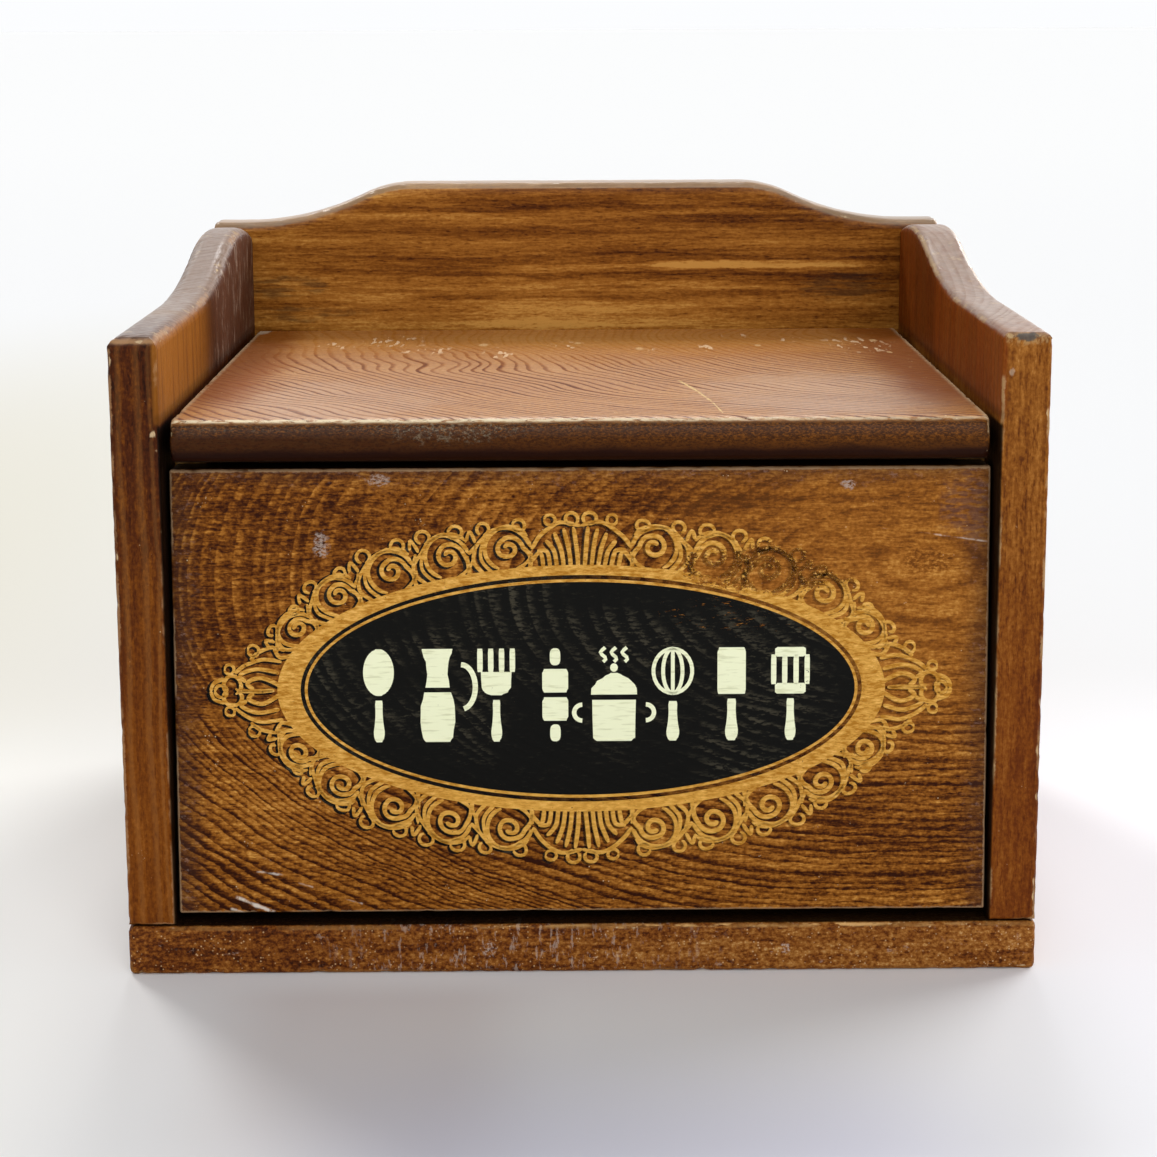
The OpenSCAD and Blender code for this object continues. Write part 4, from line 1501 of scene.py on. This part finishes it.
def jug(x):
    body = turned(x, ((FOOT, 6.0), (-8.0, 7.4), (-5, 8.6), (-2, 8.4), (0.6, 6.6)))
    neck = turned(x, ((1.5, 6.0), (4.0, 5.0), (6.4, 5.6), (8.0, 7.2), (TOP, 7.6)))
    return [body, neck, ring_of(x + 4.4, 1.6, 2.6, 4.2, -80, 90, 1.3)]


def pot(x):
    body = turned(x, ((FOOT, 8.6), (-8.2, 10.4), (-1.0, 10.8)))
    cover = turned(x, ((0, 11.4), (1.2, 11.2), (2.6, 8.4), (3.6, 4.2), (4.1, 1.6)))
    ears = [ring_of(x + side * 5.9, -3.4, 1.5, 1.5, -90, 90 if side > 0 else -270, 1.1) for side in (1, -1)]
    steam = [([(x + dx + 0.5 * math.sin(k * 1.2), 6.2 + k * 0.45) for k in range(7)], [0.9] * 7) for dx in (-2, 0, 2)]
    return [body, cover, bowl(x, 4.3, 5.9, 1.9)] + ears + steam


def rolling_pin(x):
    ends = [bowl(x, FOOT, FOOT + 3.2, 2.6, 3), bowl(x, TOP - 3.2, TOP, 2.6, 3)]
    return ends + [bar(x, -4.9, x, -0.45, 6.4), bar(x, 0.45, x, 4.9, 6.4)]


def turner(x):
    slots = [bar(x + dx, 1.8, x + dx, TOP - 1.4, 1.3) for dx in (-3.1, -1.05, 1.05, 3.1)]
    return [grip(x, FOOT, -GAP), bar(x, 0, x, 2.0, 7.6), bar(x, TOP - 1.8, x, TOP, 7.6)] + slots


def cleaver(x):
    blade = turned(x, ((0, 6.6), (0.8, 7.0), (7.9, 7.0), (TOP, 6.2)))
    return [grip(x, FOOT, -GAP, 2.6), blade]


def kitchen_tools():
    """A row of plain kitchen tools, each cut like a stencil with gaps between its parts."""
    row = (spoon, jug, fork, rolling_pin, pot, whisk, cleaver, turner)
    pitch = 10.9
    return [line for i, tool in enumerate(row) for line in tool((i - (len(row) - 1) / 2) * pitch)]


class BOX_OT_tools(Operator):
    """Stencil a row of kitchen tools on the oval"""

    bl_idname = "card_box.tools"
    bl_label = "Stencilled tools"

    def execute(self, context):
        m = context.scene.card_box_medallion
        thing = drawn("stencilled_tools", kitchen_tools(), 1.0, m.ink * 1.2, (0.6, -1.1))
        finish_piece(thing, "front", "front_wood", cream_paint())
        return {"FINISHED"}


class BOX_OT_nails(Operator):
    """Give the nails their steel"""

    bl_idname = "card_box.nails"
    bl_label = "Nails"

    def execute(self, context):
        steel = nail_finish()
        pins = [f"{side}_{kind}_pin" for side in ("left", "right") for kind in ("lid", "front")]
        for name in pins + ["base_nails", "back_nails", "cleat_brads"]:
            frame["nodes"][name].data.materials.clear()
            frame["nodes"][name].data.materials.append(steel)
        return {"FINISHED"}


# Studio


def pale_ground():
    """Pale paper that keeps the soft shadow, with painted shadow in front of the box, painted light beside it, and
    painted shade that makes it duller far behind the box; a little warmer at the left.
    """
    paint = Paint("pale_ground")
    point = paint.place()
    parts = paint.node("SeparateXYZ", Vector=point)
    x, y = (Wire(paint, parts.socket.node.outputs[i]) for i in range(2))
    near = paint.mix(paint.ease(x, -160, 120), (0.94, 0.935, 0.91), (0.93, 0.93, 0.97))
    # Painted light: paler beside the box, where its shadow would reach round the front corners.
    near = paint.mix(paint.ease(abs(x), 105, 60), near, (0.85, 0.85, 0.865))
    # Painted shadow: darker patches in front of the base, the second one bluish and reaching further forward.
    under = paint.ease(abs(x + 38), 36, 12) * paint.ease(y, -68, -80) * paint.ease(y, -170, -95)
    near = paint.mix(under, near, (0.88, 0.84, 0.83), "MULTIPLY")
    front = paint.ease(abs(x - 10), 76, 28) * paint.ease(y, -86, -135) * paint.ease(y, -360, -150)
    near = paint.mix(front, near, (0.84, 0.84, 0.93), "MULTIPLY")
    # Painted shade: the paper turns duller behind the box and further away.
    far = paint.mix(paint.ease(y, 400, 3000), (0.755, 0.76, 0.77), (0.772, 0.777, 0.782))
    shade = paint.mix(paint.ease(y, -10, 140), near, far)
    flat = paint.node("VectorMath", {"operation": "MULTIPLY"}, i0=point, i1=(1, 0.3, 1))
    off = paint.node("VectorMath", {"operation": "DISTANCE"}, out="Value", i0=flat, i1=(-260, 60, 0))
    patch = paint.ease(off, 40, 240, 1, 0) * paint.ease(y, -30, 110)
    shade = paint.mix(patch * 0.7, shade, (0.65, 0.62, 0.51))
    diffuse = paint.node("BsdfDiffuse", Color=shade)
    paint.node("OutputMaterial", Surface=diffuse)
    return paint.material


def sun(name, power, spread, towards, shade=(1, 1, 1)):
    """Soft light as from a large window, from the direction towards; power is what a facing white gives back."""
    data = bpy.data.lights.new(name, "SUN")
    data.angle = math.radians(spread)
    data.energy = power * math.pi
    data.color = shade
    thing = bpy.data.objects.new(name, data)
    thing.rotation_euler = Vector(towards).to_track_quat("Z", "Y").to_euler()
    bpy.context.scene.collection.objects.link(thing)


class BOX_OT_studio(Operator):
    """Set the floor, the lamps, the world and the camera"""

    bl_idname = "card_box.studio"
    bl_label = "Studio"

    def execute(self, context):
        scene = context.scene
        bm = bmesh.new()
        bmesh.ops.create_grid(bm, x_segments=1, y_segments=1, size=60)
        floor = mesh_object("floor", bm)
        floor.data.materials.append(pale_ground())

        world = bpy.data.worlds.new("studio_air")
        world.use_nodes = True
        tree = world.node_tree
        air = tree.nodes["Background"]
        air.inputs["Strength"].default_value = 0.37
        air.inputs["Color"].default_value = (0.96, 0.98, 1.0, 1)
        white = tree.nodes.new("ShaderNodeBackground")
        white.inputs["Color"].default_value = (0.975, 0.985, 1.0, 1)
        ray = tree.nodes.new("ShaderNodeLightPath")
        seen = ray.outputs["Is Camera Ray"]
        for kind in ("Is Glossy Ray", "Is Transmission Ray"):
            either = tree.nodes.new("ShaderNodeMath")
            either.operation = "MAXIMUM"
            tree.links.new(seen, either.inputs[0])
            tree.links.new(ray.outputs[kind], either.inputs[1])
            seen = either.outputs[0]
        mixed = tree.nodes.new("ShaderNodeMixShader")
        tree.links.new(seen, mixed.inputs[0])
        tree.links.new(air.outputs[0], mixed.inputs[1])
        tree.links.new(white.outputs[0], mixed.inputs[2])
        tree.links.new(mixed.outputs[0], tree.nodes["World Output"].inputs[0])
        scene.world = world

        sun("right_window", 1.0, 45, (0.66, 0.66, 0.34), (1.0, 0.99, 0.98))
        sun("left_window", 0.33, 14, (-0.38, 0.6, 0.71), (1.0, 0.98, 0.95))
        sun("rear_window", 0.15, 14, (0.0, 0.71, 0.71))
        sun("room", 0.45, 60, (0.1, -0.86, 0.5))

        data = bpy.data.cameras.new("camera")
        data.sensor_width = 36
        data.lens = 68.69
        data.shift_y = -0.17
        data.clip_start = 0.01
        data.clip_end = 200
        camera = bpy.data.objects.new("camera", data)
        turn = (
            Matrix.Rotation(math.radians(-0.32), 4, "Z")
            @ Matrix.Rotation(math.radians(90 - 9.23), 4, "X")
            @ Matrix.Rotation(math.radians(-0.24), 4, "Z")
        )
        camera.location = (-0.0025, -0.4586, 0.1759)
        camera.rotation_euler = turn.to_euler()
        scene.collection.objects.link(camera)
        scene.camera = camera
        scene.view_settings.view_transform = "Standard"
        return {"FINISHED"}


class BOX_PT_panel(Panel):
    """Steps of the build, in order"""

    bl_idname = "BOX_PT_panel"
    bl_label = "Card Box"
    bl_space_type = "VIEW_3D"
    bl_region_type = "UI"
    bl_category = "Card Box"

    def draw(self, context):
        for step in STEPS:
            self.layout.operator(step.bl_idname)
        for group in ("card_box_shape", "card_box_medallion", "card_box_colours"):
            settings = getattr(context.scene, group)
            box = self.layout.box()
            for name in settings.bl_rna.properties.keys():
                if name not in ("rna_type", "name"):
                    box.prop(settings, name)


STEPS = (
    BOX_OT_base,
    BOX_OT_sides,
    BOX_OT_back,
    BOX_OT_cleats,
    BOX_OT_lid,
    BOX_OT_front,
    BOX_OT_medallion,
    BOX_OT_tools,
    BOX_OT_nails,
    BOX_OT_studio,
)
GROUPS = {"card_box_shape": BoxShape, "card_box_medallion": MedallionShape, "card_box_colours": BoxColours}


def register():
    for group in GROUPS.values():
        bpy.utils.register_class(group)
    for name, group in GROUPS.items():
        setattr(bpy.types.Scene, name, PointerProperty(type=group))
    for step in (*STEPS, BOX_PT_panel):
        bpy.utils.register_class(step)


def unregister():
    for step in reversed((*STEPS, BOX_PT_panel)):
        bpy.utils.unregister_class(step)
    for name, group in GROUPS.items():
        delattr(bpy.types.Scene, name)
        bpy.utils.unregister_class(group)


def main():
    register()
    for step in STEPS:
        family, name = step.bl_idname.split(".")
        getattr(getattr(bpy.ops, family), name)()


if __name__ == "__main__":
    main()
